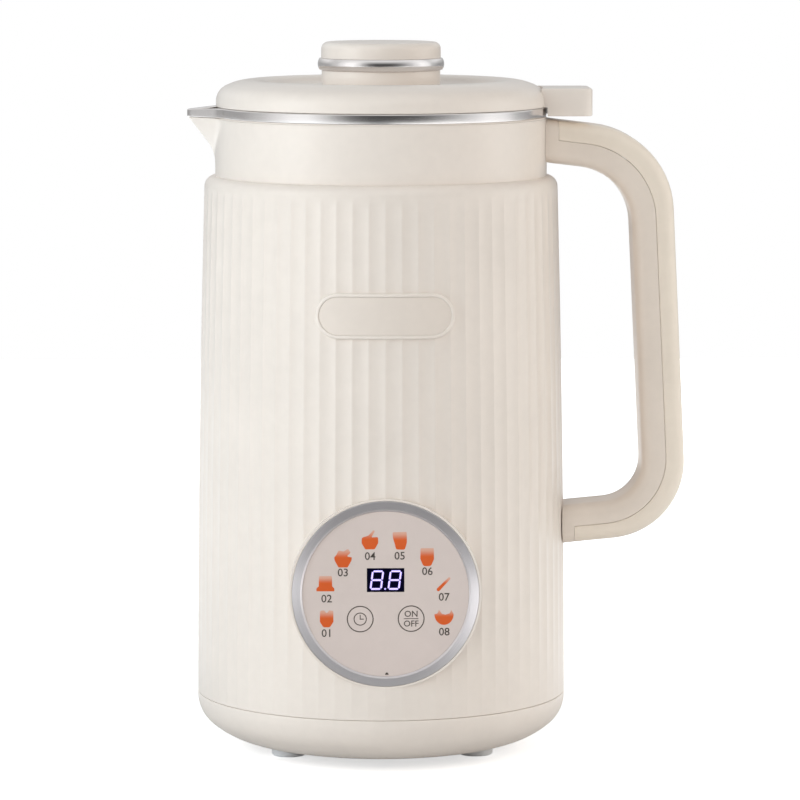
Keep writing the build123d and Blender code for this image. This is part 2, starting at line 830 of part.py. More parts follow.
def temperature_sensors():
    """Two round sensors under the heating plate."""
    solids = []
    for angle in sensor_angles:
        x, y, _ = polar(sensor_circle_r, angle)
        solids.append(Pos(x, y, 0) * tube(sensor_r, 0, plate_bottom_z - sensor_height, plate_bottom_z))
    return joined(solids)


def seat_sleeve():
    """Flanged sleeve through the vessel floor that holds bush and seal."""
    top_z = vessel_floor_z + sleeve_flange_height
    land_z = sleeve_bottom_z + sleeve_land
    land_r = (shaft_r + sleeve_bore_r) / 2
    return turned([(land_r, sleeve_bottom_z), (sleeve_r, sleeve_bottom_z), (sleeve_r, vessel_floor_z),
                   (sleeve_flange_r, vessel_floor_z), (sleeve_flange_r, top_z - sleeve_flange_bevel),
                   (sleeve_flange_r - sleeve_flange_bevel, top_z), (sleeve_bore_r, top_z),
                   (sleeve_bore_r, land_z), (land_r, land_z)])


def seat_nut():
    """Six-sided nut that clamps the sleeve under the vessel floor."""
    top_z = vessel_floor_z - vessel_wall
    nut = extrude(RegularPolygon(seat_nut_r, 6), seat_nut_height)
    return Pos(0, 0, top_z - seat_nut_height) * nut - tube(sleeve_r + fit_gap, 0,
                                                           top_z - seat_nut_height - overrun, top_z)


def seat_bush():
    """Bronze bush that the shaft turns in."""
    bottom_z = sleeve_bottom_z + sleeve_land
    return tube(sleeve_bore_r - press_gap, shaft_r + running_gap, bottom_z, bottom_z + bush_height)


def shaft_seal():
    """Rubber seal above the bush."""
    bottom_z = sleeve_bottom_z + sleeve_land + bush_height
    top_z = bottom_z + seal_ring_height
    lip_z = bottom_z + seal_ring_height / 2
    return turned([(shaft_r + running_gap, bottom_z), (sleeve_bore_r - press_gap, bottom_z),
                   (sleeve_bore_r - press_gap, top_z), ((shaft_r + sleeve_bore_r) / 2, top_z),
                   (shaft_r + running_gap, lip_z)])


# Motor
def coil_sectors(window_margin):
    """Angles and radii of the field coils' legs, grown by a margin."""
    half = coil_window_angle / 2
    grow = degrees(window_margin / coil_inner_r)
    legs = []
    for pole in (REAR, FRONT):
        for side in (-1, 1):
            middle = pole + side * (half + coil_leg_angle / 2)
            legs.append((middle - coil_leg_angle / 2 - grow, coil_leg_angle + 2 * grow))
    return legs


def bolt_places():
    """Places of the motor's long screws."""
    return [polar(long_screw_circle_r, angle) for angle in bracket_post_angles]


def stator_core():
    """Laminated ring with slots for the coils and holes for the long screws."""
    solid = tube(stator_r, stator_bore_r, stator_bottom_z, stator_top_z)
    for start, sweep in coil_sectors(fit_gap):
        solid -= sector(coil_outer_r + fit_gap, coil_inner_r - fit_gap, start, sweep,
                        stator_bottom_z - overrun, stator_top_z + overrun)
    for x, y, _ in bolt_places():
        solid -= Pos(x, y, 0) * tube(long_screw_r + fit_gap, 0, stator_bottom_z - overrun,
                                     stator_top_z + overrun)
    return solid


def stator_coils():
    """Two saddle coils, one on each pole."""
    solids = []
    sweep = coil_window_angle + 2 * coil_leg_angle
    for pole in (REAR, FRONT):
        saddle = sector(coil_outer_r, coil_inner_r, pole - sweep / 2, sweep,
                        stator_bottom_z - coil_overhang, stator_top_z + coil_overhang)
        window = sector(coil_outer_r + overrun, coil_inner_r - overrun, pole - coil_window_angle / 2,
                        coil_window_angle, stator_bottom_z - fit_gap, stator_top_z + fit_gap)
        solids.append(saddle - window)
    return joined(solids)


def bracket(plate_z, hub_bottom_z, hub_top_z, post_bottom_z, post_top_z):
    """Motor end bracket: plate, bearing hub and four posts against the stator."""
    hub_r = bearing_r + bracket_hub_wall
    solid = tube(stator_r, 0, plate_z, plate_z + bracket_thickness) + tube(hub_r, 0, hub_bottom_z, hub_top_z)
    for angle in bracket_post_angles:
        start = angle - bracket_post_arc / 2
        solid += sector(stator_r, bracket_post_inner_r, start, bracket_post_arc, post_bottom_z, post_top_z)
    low_z, high_z = min(plate_z, post_bottom_z) - overrun, max(hub_top_z, post_top_z) + overrun
    for x, y, _ in bolt_places():
        solid -= Pos(x, y, 0) * tube(long_screw_r + fit_gap, 0, low_z, high_z)
    return solid


def lower_bearing_z():
    """Underside of the lower bearing."""
    return lower_bracket_z - bracket_hub_drop + bearing_lip


def upper_bearing_z():
    """Underside of the upper bearing."""
    return upper_bracket_z + bracket_hub_rise - bearing_lip - bearing_height


def bearing_seat(bottom_z):
    """Cut for a bearing."""
    return tube(bearing_r + press_gap, 0, bottom_z, bottom_z + bearing_height)


def lower_bracket():
    """Bracket under the stator, with vents."""
    hub_bottom_z = lower_bracket_z - bracket_hub_drop
    plate_top_z = lower_bracket_z + bracket_thickness
    solid = bracket(lower_bracket_z, hub_bottom_z, plate_top_z, plate_top_z, stator_bottom_z)
    bearing_z = lower_bearing_z()
    solid -= tube(bearing_r + press_gap, 0, bearing_z, plate_top_z + overrun)
    solid -= tube(bearing_lip_r, 0, hub_bottom_z - overrun, plate_top_z)
    outer, inner = bracket_post_inner_r - bracket_vent_gap, bearing_r + bracket_hub_wall + bracket_vent_gap
    start = (bracket_post_angles[1] - bracket_vent_arc) / 2
    vent = sector(outer, inner, start, bracket_vent_arc, lower_bracket_z - overrun, plate_top_z + overrun)
    return solid - around(vent, len(bracket_post_angles))


def upper_bracket():
    """Bracket over the stator, with ears for the rubber mounts."""
    hub_top_z = upper_bracket_z + bracket_hub_rise
    solid = bracket(upper_bracket_z, upper_bracket_z, hub_top_z, stator_top_z, upper_bracket_z)
    reach = block((bearing_r, -ear_r, upper_bracket_z), (stud_circle_r, ear_r,
                                                         upper_bracket_z + bracket_thickness))
    ear = reach + Pos(stud_circle_r, 0, 0) * tube(ear_r, 0, upper_bracket_z,
                                                  upper_bracket_z + bracket_thickness)
    ear -= Pos(stud_circle_r, 0, 0) * tube(grommet_neck_r + fit_gap, 0, upper_bracket_z - overrun, hub_top_z)
    solid += around(ear, stud_count, 180 / stud_count)
    solid -= tube(bearing_r + press_gap, 0, upper_bearing_z(), hub_top_z - bearing_lip)
    return solid - tube(bearing_lip_r, 0, upper_bracket_z - overrun, hub_top_z + overrun)


def bearing(bottom_z):
    """Plain ball bearing ring about the shaft."""
    return tube(bearing_r, shaft_r + running_gap, bottom_z, bottom_z + bearing_height)


def brush_holders():
    """Two brush boxes that point at the commutator."""
    floor_z = lower_bracket_z + bracket_thickness
    middle_z = commutator_bottom_z() + commutator_height / 2
    inner = commutator_r + seat_gap + line_gap
    solids = []
    for side in (-1, 1):
        box = block((inner, -brush_width / 2, middle_z - brush_height / 2),
                    (brush_outer_r, brush_width / 2, middle_z + brush_height / 2))
        foot = block(((inner + brush_outer_r) / 2, -brush_width / 2 - brush_foot, floor_z),
                     (brush_outer_r, brush_width / 2 + brush_foot, middle_z))
        solids.append(Rot(0, 0, 90 - side * 90) * (box + foot))
    return joined(solids)


def commutator_bottom_z():
    """Lower end of the commutator."""
    return stator_bottom_z - coil_overhang - commutator_gap - commutator_height


def motor_screws():
    """Four long screws that clamp the brackets to the stator."""
    top_z = upper_bracket_z + bracket_thickness
    solids = []
    for x, y, _ in bolt_places():
        screw = tube(long_screw_r, 0, lower_bracket_z, top_z)
        screw += tube(long_screw_head_r, 0, lower_bracket_z - long_screw_head_height, lower_bracket_z)
        solids.append(Pos(x, y, 0) * screw)
    return joined(solids)


def motor_grommets():
    """Rubber mounts between the upper bracket's ears and the studs."""
    low_z, high_z = upper_bracket_z, upper_bracket_z + bracket_thickness
    bore = stud_r + fit_gap
    spool = turned([(bore, low_z - grommet_overlap), (grommet_r, low_z - grommet_overlap), (grommet_r, low_z),
                    (grommet_neck_r, low_z), (grommet_neck_r, high_z), (grommet_r, high_z),
                    (grommet_r, high_z + grommet_overlap), (bore, high_z + grommet_overlap)])
    return joined(around(Pos(stud_circle_r, 0, 0) * spool, stud_count, 180 / stud_count))


def motor_nuts():
    """Nuts under the rubber mounts."""
    top_z = upper_bracket_z - grommet_overlap
    nut = extrude(RegularPolygon(stud_nut_r, 6), stud_nut_height)
    nut -= tube(stud_r + fit_gap, 0, -overrun, stud_nut_height + overrun)
    placed = Pos(stud_circle_r, 0, top_z - stud_nut_height) * nut
    return joined(around(placed, stud_count, 180 / stud_count))


def motor_shaft():
    """Stepped shaft from the fan to the blade."""
    collar_z = shaft_collar_top_z - shaft_collar_height
    return turned([(0, shaft_bottom_z), (shaft_r, shaft_bottom_z), (shaft_r, collar_z),
                   (shaft_collar_r, collar_z), (shaft_collar_r, shaft_collar_top_z),
                   (shaft_thread_r, shaft_collar_top_z), (shaft_thread_r, shaft_top_z), (0, shaft_top_z)])


def slot_bars(radius, bottom_z, top_z):
    """Bars in the rotor's slots."""
    return around(Pos(rotor_slot_circle_r, 0, 0) * tube(radius, 0, bottom_z, top_z), rotor_slot_count)


def rotor_core():
    """Laminated rotor with a ring of slots."""
    solid = tube(rotor_r, shaft_r + fit_gap, stator_bottom_z, stator_top_z)
    return solid - slot_bars(rotor_slot_r, stator_bottom_z - overrun, stator_top_z + overrun)


def rotor_winding():
    """Winding: a bar in each slot between two end rings."""
    low_z, high_z = stator_bottom_z - winding_overhang, stator_top_z + winding_overhang
    solid = tube(winding_r, winding_inner_r, low_z, stator_bottom_z) + tube(winding_r, winding_inner_r,
                                                                            stator_top_z, high_z)
    return solid + slot_bars(rotor_slot_r - fit_gap, low_z, high_z)


def commutator():
    """Ring of copper bars."""
    bottom_z = commutator_bottom_z()
    top_z = bottom_z + commutator_height
    solid = tube(commutator_r, shaft_r + fit_gap, bottom_z, top_z)
    half = commutator_slot_width / 2
    slot = block((commutator_r - commutator_slot_width, -half, bottom_z - overrun),
                 (commutator_r + overrun, half, top_z + overrun))
    return solid - around(slot, rotor_slot_count)


def cooling_fan():
    """Fan with curved blades on a disc."""
    bore = shaft_r + fit_gap
    hub_top_z = fan_bottom_z + fan_height
    solid = tube(fan_r, bore, fan_bottom_z, fan_bottom_z + fan_disc_thickness) + tube(fan_hub_r, bore,
                                                                                      fan_bottom_z, hub_top_z)
    outer = fan_r - fan_blade_thickness
    middle = (fan_hub_r + outer) / 2
    bow = fan_hub_r / 2
    spine = ThreePointArc((fan_hub_r - fan_blade_thickness, 0), (middle, bow), (outer, 0))
    back = ThreePointArc((outer, fan_blade_thickness), (middle, bow + fan_blade_thickness),
                         (fan_hub_r - fan_blade_thickness, fan_blade_thickness))
    edges = spine + Line(spine @ 1, back @ 0) + back + Line(back @ 1, spine @ 0)
    blade = Pos(0, 0, fan_bottom_z + fan_disc_thickness / 2) * extrude(make_face(edges),
                                                                       fan_height - fan_disc_thickness)
    return solid + around(blade, fan_blade_count)


def air_duct():
    """Collar round the fan that leads its air to the base vents."""
    return tube(duct_r + duct_wall, duct_r, base_floor_z, base_floor_z + duct_height)


# Blade
def blade_set():
    """Cross of four bevelled blades, two bent up and two bent down."""
    hub_z = shaft_collar_top_z
    solid = tube(blade_hub_r, shaft_thread_r + fit_gap, hub_z, hub_z + blade_thickness)
    half_root, half_tip = blade_root_width / 2, blade_tip_width / 2
    length = blade_reach - blade_hub_r / 2
    plan = make_face(Polyline((0, -half_root), (length, -half_tip), (length - half_tip, half_tip),
                              (0, half_root), close=True))
    plate = extrude(plan, blade_thickness)
    front = plate.edges().filter_by(lambda edge: edge.center().Y < -half_tip / 2)
    bevel = front.group_by(Axis.Z)[-1].sort_by(Axis.X)
    plate = chamfer(bevel[len(bevel) // 2], blade_bevel)
    for k, tilt in enumerate(blade_tilts):
        arm = Pos(blade_hub_r / 2, 0, 0) * Rot(0, -tilt, 0) * plate
        solid += Rot(0, 0, k * 90) * Pos(0, 0, hub_z) * arm - tube(shaft_thread_r + fit_gap, 0,
                                                                   hub_z - overrun, hub_z + overrun)
    clear = shaft_collar_r + fit_gap
    solid -= tube(clear, 0, hub_z - overrun, hub_z)
    return solid - tube(blade_nut_r + fit_gap, 0, hub_z + blade_thickness, hub_z + blade_thickness + overrun)


def blade_nut():
    """Domed cap nut on the shaft's thread."""
    bottom_z = shaft_collar_top_z + blade_thickness
    top_z = bottom_z + blade_nut_height
    solid = turned([(0, bottom_z), (blade_nut_r, bottom_z), (blade_nut_r, top_z), (0, top_z)],
                   [0, 0, blade_nut_height / 2, 0])
    return solid - tube(shaft_thread_r + fit_gap, 0, bottom_z, shaft_top_z + fit_gap)


# Control panel
def faced(solid):
    """Solid built upward from zero, turned to face the front at the panel's seat."""
    return Pos(0, panel_back_y, panel_centre_z) * Rot(90, 0, 0) * solid


def panel_bezel():
    """Ring round the panel with sloped inner and rounded outer edge."""
    height = panel_thickness + bezel_proud
    return faced(turned([(bezel_inner_r, 0), (bezel_r, 0), (bezel_r, height),
                         (bezel_inner_r + bezel_proud, height), (bezel_inner_r, height - bezel_proud)],
                        [0, 0, bezel_proud, 0, 0]))


def display_block(width, height, y_start, y_end):
    """Box at the display's place on the panel."""
    z = panel_centre_z + display_rise
    return block((-width / 2, y_start, z - height / 2), (width / 2, y_end, z + height / 2))


def panel_face():
    """Flat disc inside the bezel, open at the display."""
    disc = facing(bezel_inner_r - fit_gap, panel_front_y, panel_back_y, z=panel_centre_z)
    return disc - display_block(display_width, display_height, panel_front_y - overrun,
                                panel_back_y + overrun)


def display_window():
    """Dark window flush with the panel."""
    return display_block(display_width - fit_gap, display_height - fit_gap, panel_front_y,
                         panel_front_y + display_lens_thickness)


def display_module():
    """Display behind its window, standing on the board."""
    width, height = display_width + 2 * display_flange, display_height + 2 * display_flange
    solid = display_block(width, height, panel_back_y, board_front_y)
    return solid + display_block(display_width - 2 * fit_gap, display_height - 2 * fit_gap,
                                 panel_front_y + display_lens_thickness, panel_back_y)


def control_board():
    """Round board on the posts behind the panel."""
    return facing(panel_rear_bore_r - seat_gap, board_front_y, board_front_y + board_thickness,
                  z=panel_centre_z)


def touch_contacts():
    """Metal cups between the board and the two touch fields."""
    depth = board_front_y - panel_back_y
    cup = Cylinder(contact_r, depth, align=UPWARD) - Cylinder(contact_r - contact_wall, depth - contact_wall,
                                                              align=UPWARD)
    solids = []
    for side in (-1, 1):
        place = Pos(side * key_offset_x, board_front_y, panel_centre_z - key_drop)
        solids.append(place * Rot(90, 0, 0) * cup)
    return joined(solids)


def indicator_lamps():
    """A small lamp on the board behind each function mark."""
    solids = []
    half = lamp_size / 2
    for k in range(lamp_count):
        x, rise, _ = polar(lamp_circle_r, lamp_start_angle + k * lamp_step_angle)
        z = panel_centre_z + rise
        solids.append(block((x - half, board_front_y - lamp_height, z - half),
                            (x + half, board_front_y, z + half)))
    return joined(solids)


# Badge
def badge_frame():
    """Raised oval frame that follows the casing's curve."""
    band = casing_core(badge_proud) - casing_core(press_gap - badge_seat_depth)
    inner_width, inner_height = badge_width - 2 * badge_rim, badge_height - 2 * badge_rim
    far, near = -body_r - overrun, 0
    outline = stadium(badge_width, badge_height, far, near, badge_centre_z)
    return band & (outline - stadium(inner_width, inner_height, far - overrun, near + overrun,
                                     badge_centre_z))


def badge_plate():
    """Bare plate inside the frame."""
    band = casing_core(badge_plate_proud) - casing_core(press_gap - badge_seat_depth)
    width, height = badge_width - 2 * badge_rim - 2 * fit_gap, badge_height - 2 * badge_rim - 2 * fit_gap
    return band & stadium(width, height, -body_r - overrun, 0, badge_centre_z)


# Handle
def handle_screw_rows():
    """Sideways places of the handle's screws."""
    return (-handle_screw_spread / 2, handle_screw_spread / 2)


def handle_foot_z():
    """Height of the lower screws."""
    return handle_root_bottom_z + handle_depth / 2


def handle_head_z():
    """Height of the upper screws."""
    return handle_root_top_z - handle_depth / 2


def handle_region(inset, bend_r):
    """Face inside the handle's outline at an inset, closed along the body side."""
    lean = (handle_reach_bottom - handle_reach_top) / handle_lean_height
    top = inset * sqrt(1 + handle_top_slope ** 2)
    side = inset * sqrt(1 + lean ** 2)
    foot = inset * sqrt(1 + handle_bottom_slope ** 2)

    def top_z(x):
        return handle_root_top_z - top - handle_top_slope * (x - cover_start_top_x)

    def foot_z(x):
        return handle_root_bottom_z + foot + handle_bottom_slope * (x - body_r)

    def meet(z_at_zero, slope):
        reach_at_zero = handle_reach_bottom + lean * handle_lean_base_z - side
        return (reach_at_zero - lean * z_at_zero) / (1 + lean * slope)

    upper_x = meet(top_z(0), -handle_top_slope)
    lower_x = meet(foot_z(0), handle_bottom_slope)
    points = [(handle_root_x, top_z(handle_root_x)), (upper_x, top_z(upper_x)), (lower_x, foot_z(lower_x)),
              (handle_root_x, foot_z(handle_root_x))]
    return make_face(FilletPolyline(*points, radius=[0, bend_r, bend_r, 0], close=True))


def handle_body():
    """Whole handle with rounded edges, trimmed to neck and casing."""
    loop = handle_region(0, handle_outer_bend_r) - handle_region(handle_depth, handle_inner_bend_r)
    solid = extrude(Plane.XZ * loop, handle_width / 2, both=True)
    side_edges = solid.faces().filter_by(Axis.Y).edges()
    long_edges = side_edges.filter_by(lambda edge: edge.center().X > handle_root_x + overrun)
    solid = fillet(long_edges, handle_grip_round)
    solid -= tube(neck_r + fit_gap, 0, shell_top_z, rim_top_z)
    return solid - casing_core(fit_gap)


def cover_space(margin):
    """Space of the handle's outer cover, grown by a margin."""
    band = handle_region(-overrun, handle_outer_bend_r) - handle_region(handle_cover_depth + margin,
                                                                        handle_seam_bend_r)
    middle_z = (handle_root_top_z + handle_root_bottom_z) / 2
    upper = block((cover_start_top_x - margin, -handle_width, middle_z),
                  (handle_far_x, handle_width, handle_root_top_z + overrun))
    lower = block((cover_start_bottom_x - margin, -handle_width, handle_root_bottom_z - overrun),
                  (handle_far_x, handle_width, middle_z))
    return extrude(Plane.XZ * band, handle_width, both=True) & (upper + lower)


def lid_switch_z():
    """Height of the switch below the cover in the handle's top."""
    seam_z = handle_root_top_z - handle_cover_depth - handle_top_slope * (switch_x - cover_start_top_x)
    return seam_z - switch_skin - switch_r


def handle_frame():
    """Inner C of the handle with screw holes and the switch's pocket."""
    solid = handle_body() - cover_space(line_gap)
    for z in (handle_head_z(), handle_foot_z()):
        for y in handle_screw_rows():
            solid -= sideways(handle_screw_r + fit_gap, handle_root_x, body_r + handle_screw_length, y, z)
    pocket_r = switch_r + fit_gap
    half = switch_length / 2 + fit_gap
    pocket = block((switch_x - half, -pocket_r, lid_switch_z() - pocket_r),
                   (switch_x + half, pocket_r, handle_root_top_z))
    return solid - pocket


def handle_cover():
    """Outer strip of the handle."""
    return handle_body() & cover_space(0)


def handle_screws():
    """Screws from inside the neck and the casing into the handle."""
    solids = []
    casing_r = body_radius(handle_foot_z()) - flute_depth - casing_wall
    for wall_r, z in ((neck_r - neck_wall, handle_head_z()), (casing_r, handle_foot_z())):
        for y in handle_screw_rows():
            seat_x = sqrt(wall_r ** 2 - (abs(y) + handle_screw_head_r) ** 2) - fit_gap
            screw = sideways(handle_screw_head_r, seat_x - handle_screw_head_height, seat_x, y, z)
            solids.append(screw + sideways(handle_screw_r, seat_x, seat_x + handle_screw_length, y, z))
    return joined(solids)


def lid_switch():
    """Sealed switch that the lid's magnet closes."""
    return sideways(switch_r, switch_x - switch_length / 2, switch_x + switch_length / 2, 0, lid_switch_z())


# Lid
def lid_shell():
    """Domed lid with a dished top, a lug over the handle and a hole for the knob."""
    edge_z = lid_bottom_z + lid_edge_straight
    crest, width = (lid_crest_r, edge_z), lid_r - lid_crest_r
    under_z = lid_dish_z - lid_wall
    over = Line((lid_r, lid_bottom_z), (lid_r, edge_z)) + oval_quarter(crest, width, lid_crown,
                                                                       lid_edge_round)
    over += s_curve((lid_crest_r, lid_crest_z), (lid_dish_r, lid_dish_z))
    over += Polyline((lid_dish_r, lid_dish_z), (knob_hole_r, lid_dish_z), (knob_hole_r, under_z),
                     (lid_dish_r, under_z))
    over += Line((lid_dish_r, under_z), (lid_crest_r, lid_crest_z - lid_wall))
    over += chords(oval_quarter(crest, width, lid_crown, lid_edge_round, -lid_wall), lid_inside_shares)
    over += Polyline((lid_r - lid_wall, edge_z), (lid_r - lid_wall, lid_bottom_z), (lid_r, lid_bottom_z))
    shell = revolve(Plane.XZ * make_face(over), Axis.Z)
    lug_z = lid_bottom_z - lug_drop
    lug = block((lid_crest_r, -lug_width / 2, lug_z), (lug_reach, lug_width / 2, lug_z + lug_height))
    lug = fillet(lug.edges().filter_by(Axis.Z).sort_by(Axis.X)[-2:], lug_round)
    lug = fillet(lug.faces().sort_by(Axis.Z)[-1].edges().sort_by(Axis.X)[1:], rim_round)
    lug -= tube(rim_outer_r + lug_rim_clearance, 0, lug_z - overrun, lid_bottom_z)
    lug -= tube(lid_r - lid_wall / 2, 0, lid_bottom_z - overrun, lid_crest_z)
    lug -= Pos(magnet_x, 0, 0) * tube(magnet_r + fit_gap, 0, lug_z - overrun, lug_z + magnet_height)
    roof_z = lid_crest_z - lid_wall / 2
    boss = Pos(lid_screw_circle_r, 0, 0) * tube(lid_boss_r, 0, liner_bottom_z + liner_plate, roof_z)
    solid = shell + lug + around(boss, lid_screw_count, REAR)
    hole = Pos(lid_screw_circle_r, 0, 0) * tube(lid_screw_r + fit_gap, 0, liner_bottom_z,
                                                liner_bottom_z + lid_screw_length)
    solid -= around(hole, lid_screw_count, REAR)
    slot_arc = bayonet_arc + 2 * bayonet_play_angle
    for turn in (0, 180):
        solid -= sector(knob_hole_r + bayonet_reach, 0, bayonet_turn + turn - slot_arc / 2, slot_arc,
                        under_z - overrun, lid_dish_z + overrun)
    return solid


def lid_liner():
    """Plug under the lid with a flange, a seal groove and the valve's nozzle."""
    flange_z = liner_top_z - liner_flange_thickness
    floor_z = liner_bottom_z + liner_plate
    groove_z = liner_bottom_z + seal_rise
    groove_r = liner_r - liner_skirt_wall / 2
    inner_r = liner_r - liner_skirt_wall
    solid = turned([(nozzle_bore_r, liner_bottom_z), (liner_r, liner_bottom_z), (liner_r, groove_z),
                    (groove_r, groove_z), (groove_r, groove_z + seal_height),
                    (liner_r, groove_z + seal_height), (liner_r, flange_z), (liner_flange_r, flange_z),
                    (liner_flange_r, liner_top_z), (inner_r, liner_top_z), (inner_r, floor_z),
                    (nozzle_r, floor_z), (nozzle_r, nozzle_top_z), (nozzle_bore_r, nozzle_top_z)])
    hole = Pos(lid_screw_circle_r, 0, 0) * tube(lid_screw_r + fit_gap, 0, liner_bottom_z - overrun,
                                                floor_z + overrun)
    head = Pos(lid_screw_circle_r, 0, 0) * tube(lid_screw_head_r + fit_gap, 0, liner_bottom_z - overrun,
                                               liner_bottom_z + lid_screw_head_height)
    return solid - around(hole + head, lid_screw_count, REAR)


def lid_seal():
    """Rubber ring in the plug's groove with a lip towards the vessel."""
    low_z = liner_bottom_z + seal_rise + press_gap
    high_z = liner_bottom_z + seal_rise + seal_height - press_gap
    inner_r = liner_r - liner_skirt_wall / 2 + press_gap
    outer_r = liner_r + seal_lip
    return turned([(inner_r, low_z), (liner_r, low_z), (outer_r, high_z - seal_lip), (outer_r, high_z),
                   (inner_r, high_z)])


def lid_magnet():
    """Disc magnet in the lug over the handle's switch."""
    bottom_z = lid_bottom_z - lug_drop
    return Pos(magnet_x, 0, 0) * tube(magnet_r, 0, bottom_z, bottom_z + magnet_height)


def lid_screws():
    """Screws that hold the plug to the lid's bosses."""
    seat_z = liner_bottom_z + lid_screw_head_height
    screw = tube(lid_screw_head_r, 0, liner_bottom_z, seat_z)
    screw += tube(lid_screw_r, 0, seat_z, liner_bottom_z + lid_screw_length)
    return joined(around(Pos(lid_screw_circle_r, 0, 0) * screw, lid_screw_count, REAR))


# Vent knob
def knob_base():
    """Pedestal on the lid with a hollow stem and bayonet lugs under the lid's edge."""
    stem_r = knob_hole_r - seat_gap
    inner_r = stem_r - knob_stem_wall
    stem_z = knob_bottom_z - knob_stem_drop
    solid = turned([(inner_r, stem_z), (stem_r, stem_z), (stem_r, knob_bottom_z),
                    (knob_base_r, knob_bottom_z), (knob_base_r, band_bottom_z), (inner_r, band_bottom_z)])
    lug_top_z = lid_dish_z - lid_wall - seat_gap
    for turn in (0, 180):
        solid += sector(stem_r + bayonet_reach, inner_r, turn - bayonet_arc / 2, bayonet_arc,
                        lug_top_z - bayonet_height, lug_top_z)
    return solid


def knob_band():
    """Bulging steel ring between pedestal and cap."""
    inner = band_inner_r + fit_gap
    outline = Polyline((band_edge_r, cap_bottom_z), (inner, cap_bottom_z), (inner, band_bottom_z),
                       (band_edge_r, band_bottom_z))
    middle_z = (band_bottom_z + cap_bottom_z) / 2
    outline += ThreePointArc((band_edge_r, band_bottom_z), (band_r, middle_z), (band_edge_r, cap_bottom_z))
    return revolve(Plane.XZ * make_face(outline), Axis.Z)


def knob_cap():
    """Cap with a rounded top edge, a plug through the band and the stop of the valve's weight."""
    inner_r = band_inner_r - cap_wall
    stop_z = weight_bottom_z + weight_height + weight_lift + seat_gap
    stop = tube(stop_r, 0, stop_z, cap_bottom_z + cap_round)
    return stop + turned([(inner_r, band_bottom_z), (band_inner_r, band_bottom_z),
                          (band_inner_r, cap_bottom_z), (cap_r, cap_bottom_z), (cap_r, cap_top_z),
                          (0, cap_top_z), (0, cap_bottom_z), (inner_r, cap_bottom_z)],
                         [0, 0, 0, 0, cap_round, 0, 0, 0])


def valve_weight():
    """Weight that rests over the nozzle and lifts under pressure."""
    bore_r = nozzle_r + nozzle_gap
    seat_z = nozzle_top_z + seat_gap
    top_z = weight_bottom_z + weight_height
    return turned([(bore_r, weight_bottom_z), (weight_r, weight_bottom_z), (weight_r, top_z - weight_bevel),
                   (weight_r - weight_bevel, top_z), (0, top_z), (0, seat_z), (bore_r, seat_z)])


# Power board and inlet
def power_board():
    """Upright board with relay, transformer and capacitor on its outer side."""
    half = board_thickness / 2
    top_z = power_board_bottom_z + power_board_height
    solid = block((power_board_x - half, -power_board_width / 2, power_board_bottom_z),
                  (power_board_x + half, power_board_width / 2, top_z))
    face_x = power_board_x - half
    middle_z = (power_board_bottom_z + top_z) / 2
    relay_depth, relay_width, relay_height = relay_size
    solid += block((face_x - relay_depth, -relay_width - half, top_z - relay_height - half),
                   (face_x, -half, top_z - half))
    depth, width, height = transformer_size
    solid += block((face_x - depth, -width / 2, middle_z - height), (face_x, width / 2, middle_z))
    length = capacitor_length
    solid += sideways(capacitor_r, face_x - length, face_x, 2 * capacitor_r, top_z - 2 * capacitor_r)
    return solid


def inlet_plan(width, height, round_r):
    """Rounded rectangle of the inlet, facing the back."""
    return Rot(90, 0, 0) * RectangleRounded(width, height, round_r)


def inlet_socket():
    """Recessed inlet with a flange inside the casing."""
    back_y = inlet_front_y - inlet_depth
    body = Pos(0, inlet_front_y, inlet_z) * extrude(inlet_plan(inlet_width, inlet_height, inlet_corner_r),
                                                    inlet_depth)
    cavity_depth = inlet_depth - inlet_floor
    cavity = inlet_plan(inlet_width - 2 * inlet_wall, inlet_height - 2 * inlet_wall, inlet_corner_r / 2)
    body -= Pos(0, inlet_front_y + overrun, inlet_z) * extrude(cavity, cavity_depth + overrun)
    half_width, half_height = inlet_flange_width / 2, inlet_flange_height / 2
    flange = block((-half_width, inlet_flange_y, inlet_z - half_height),
                   (half_width, inlet_flange_y + inlet_flange_thickness, inlet_z + half_height))
    flange -= block((-inlet_width / 2 + inlet_wall, inlet_flange_y - overrun,
                     inlet_z - inlet_height / 2 + inlet_wall),
                    (inlet_width / 2 - inlet_wall, inlet_front_y, inlet_z + inlet_height / 2 - inlet_wall))
    solid = body + flange
    for x, z in pin_places():
        solid -= block((x - pin_width / 2, back_y - overrun, z - pin_height / 2),
                       (x + pin_width / 2, back_y + inlet_floor + overrun, z + pin_height / 2))
    for side in (-1, 1):
        solid -= facing(inlet_screw_r + fit_gap, inlet_flange_y - overrun, inlet_front_y,
                        side * inlet_screw_spread / 2, inlet_z)
    return solid


def pin_places():
    """Places of the three pins across the inlet."""
    low_z, earth_z = inlet_z + pin_low_rise, inlet_z + pin_earth_rise
    return ((-pin_spacing, low_z), (0, earth_z), (pin_spacing, low_z))


def inlet_pins():
    """Three flat pins with tails."""
    back_y = inlet_front_y - inlet_depth
    solids = []
    for x, z in pin_places():
        solids.append(block((x - pin_width / 2, back_y - pin_tail, z - pin_height / 2),
                            (x + pin_width / 2, back_y + inlet_floor + pin_length, z + pin_height / 2)))
    return joined(solids)


def inlet_screws():
    """Screws through the inlet's flange into the casing's pad."""
    solids = []
    for side in (-1, 1):
        x = side * inlet_screw_spread / 2
        screw = facing(inlet_screw_head_r, inlet_flange_y - inlet_screw_head_height, inlet_flange_y, x,
                       inlet_z)
        solids.append(screw + facing(inlet_screw_r, inlet_flange_y, inlet_flange_y + inlet_screw_length, x,
                                     inlet_z))
    return joined(solids)


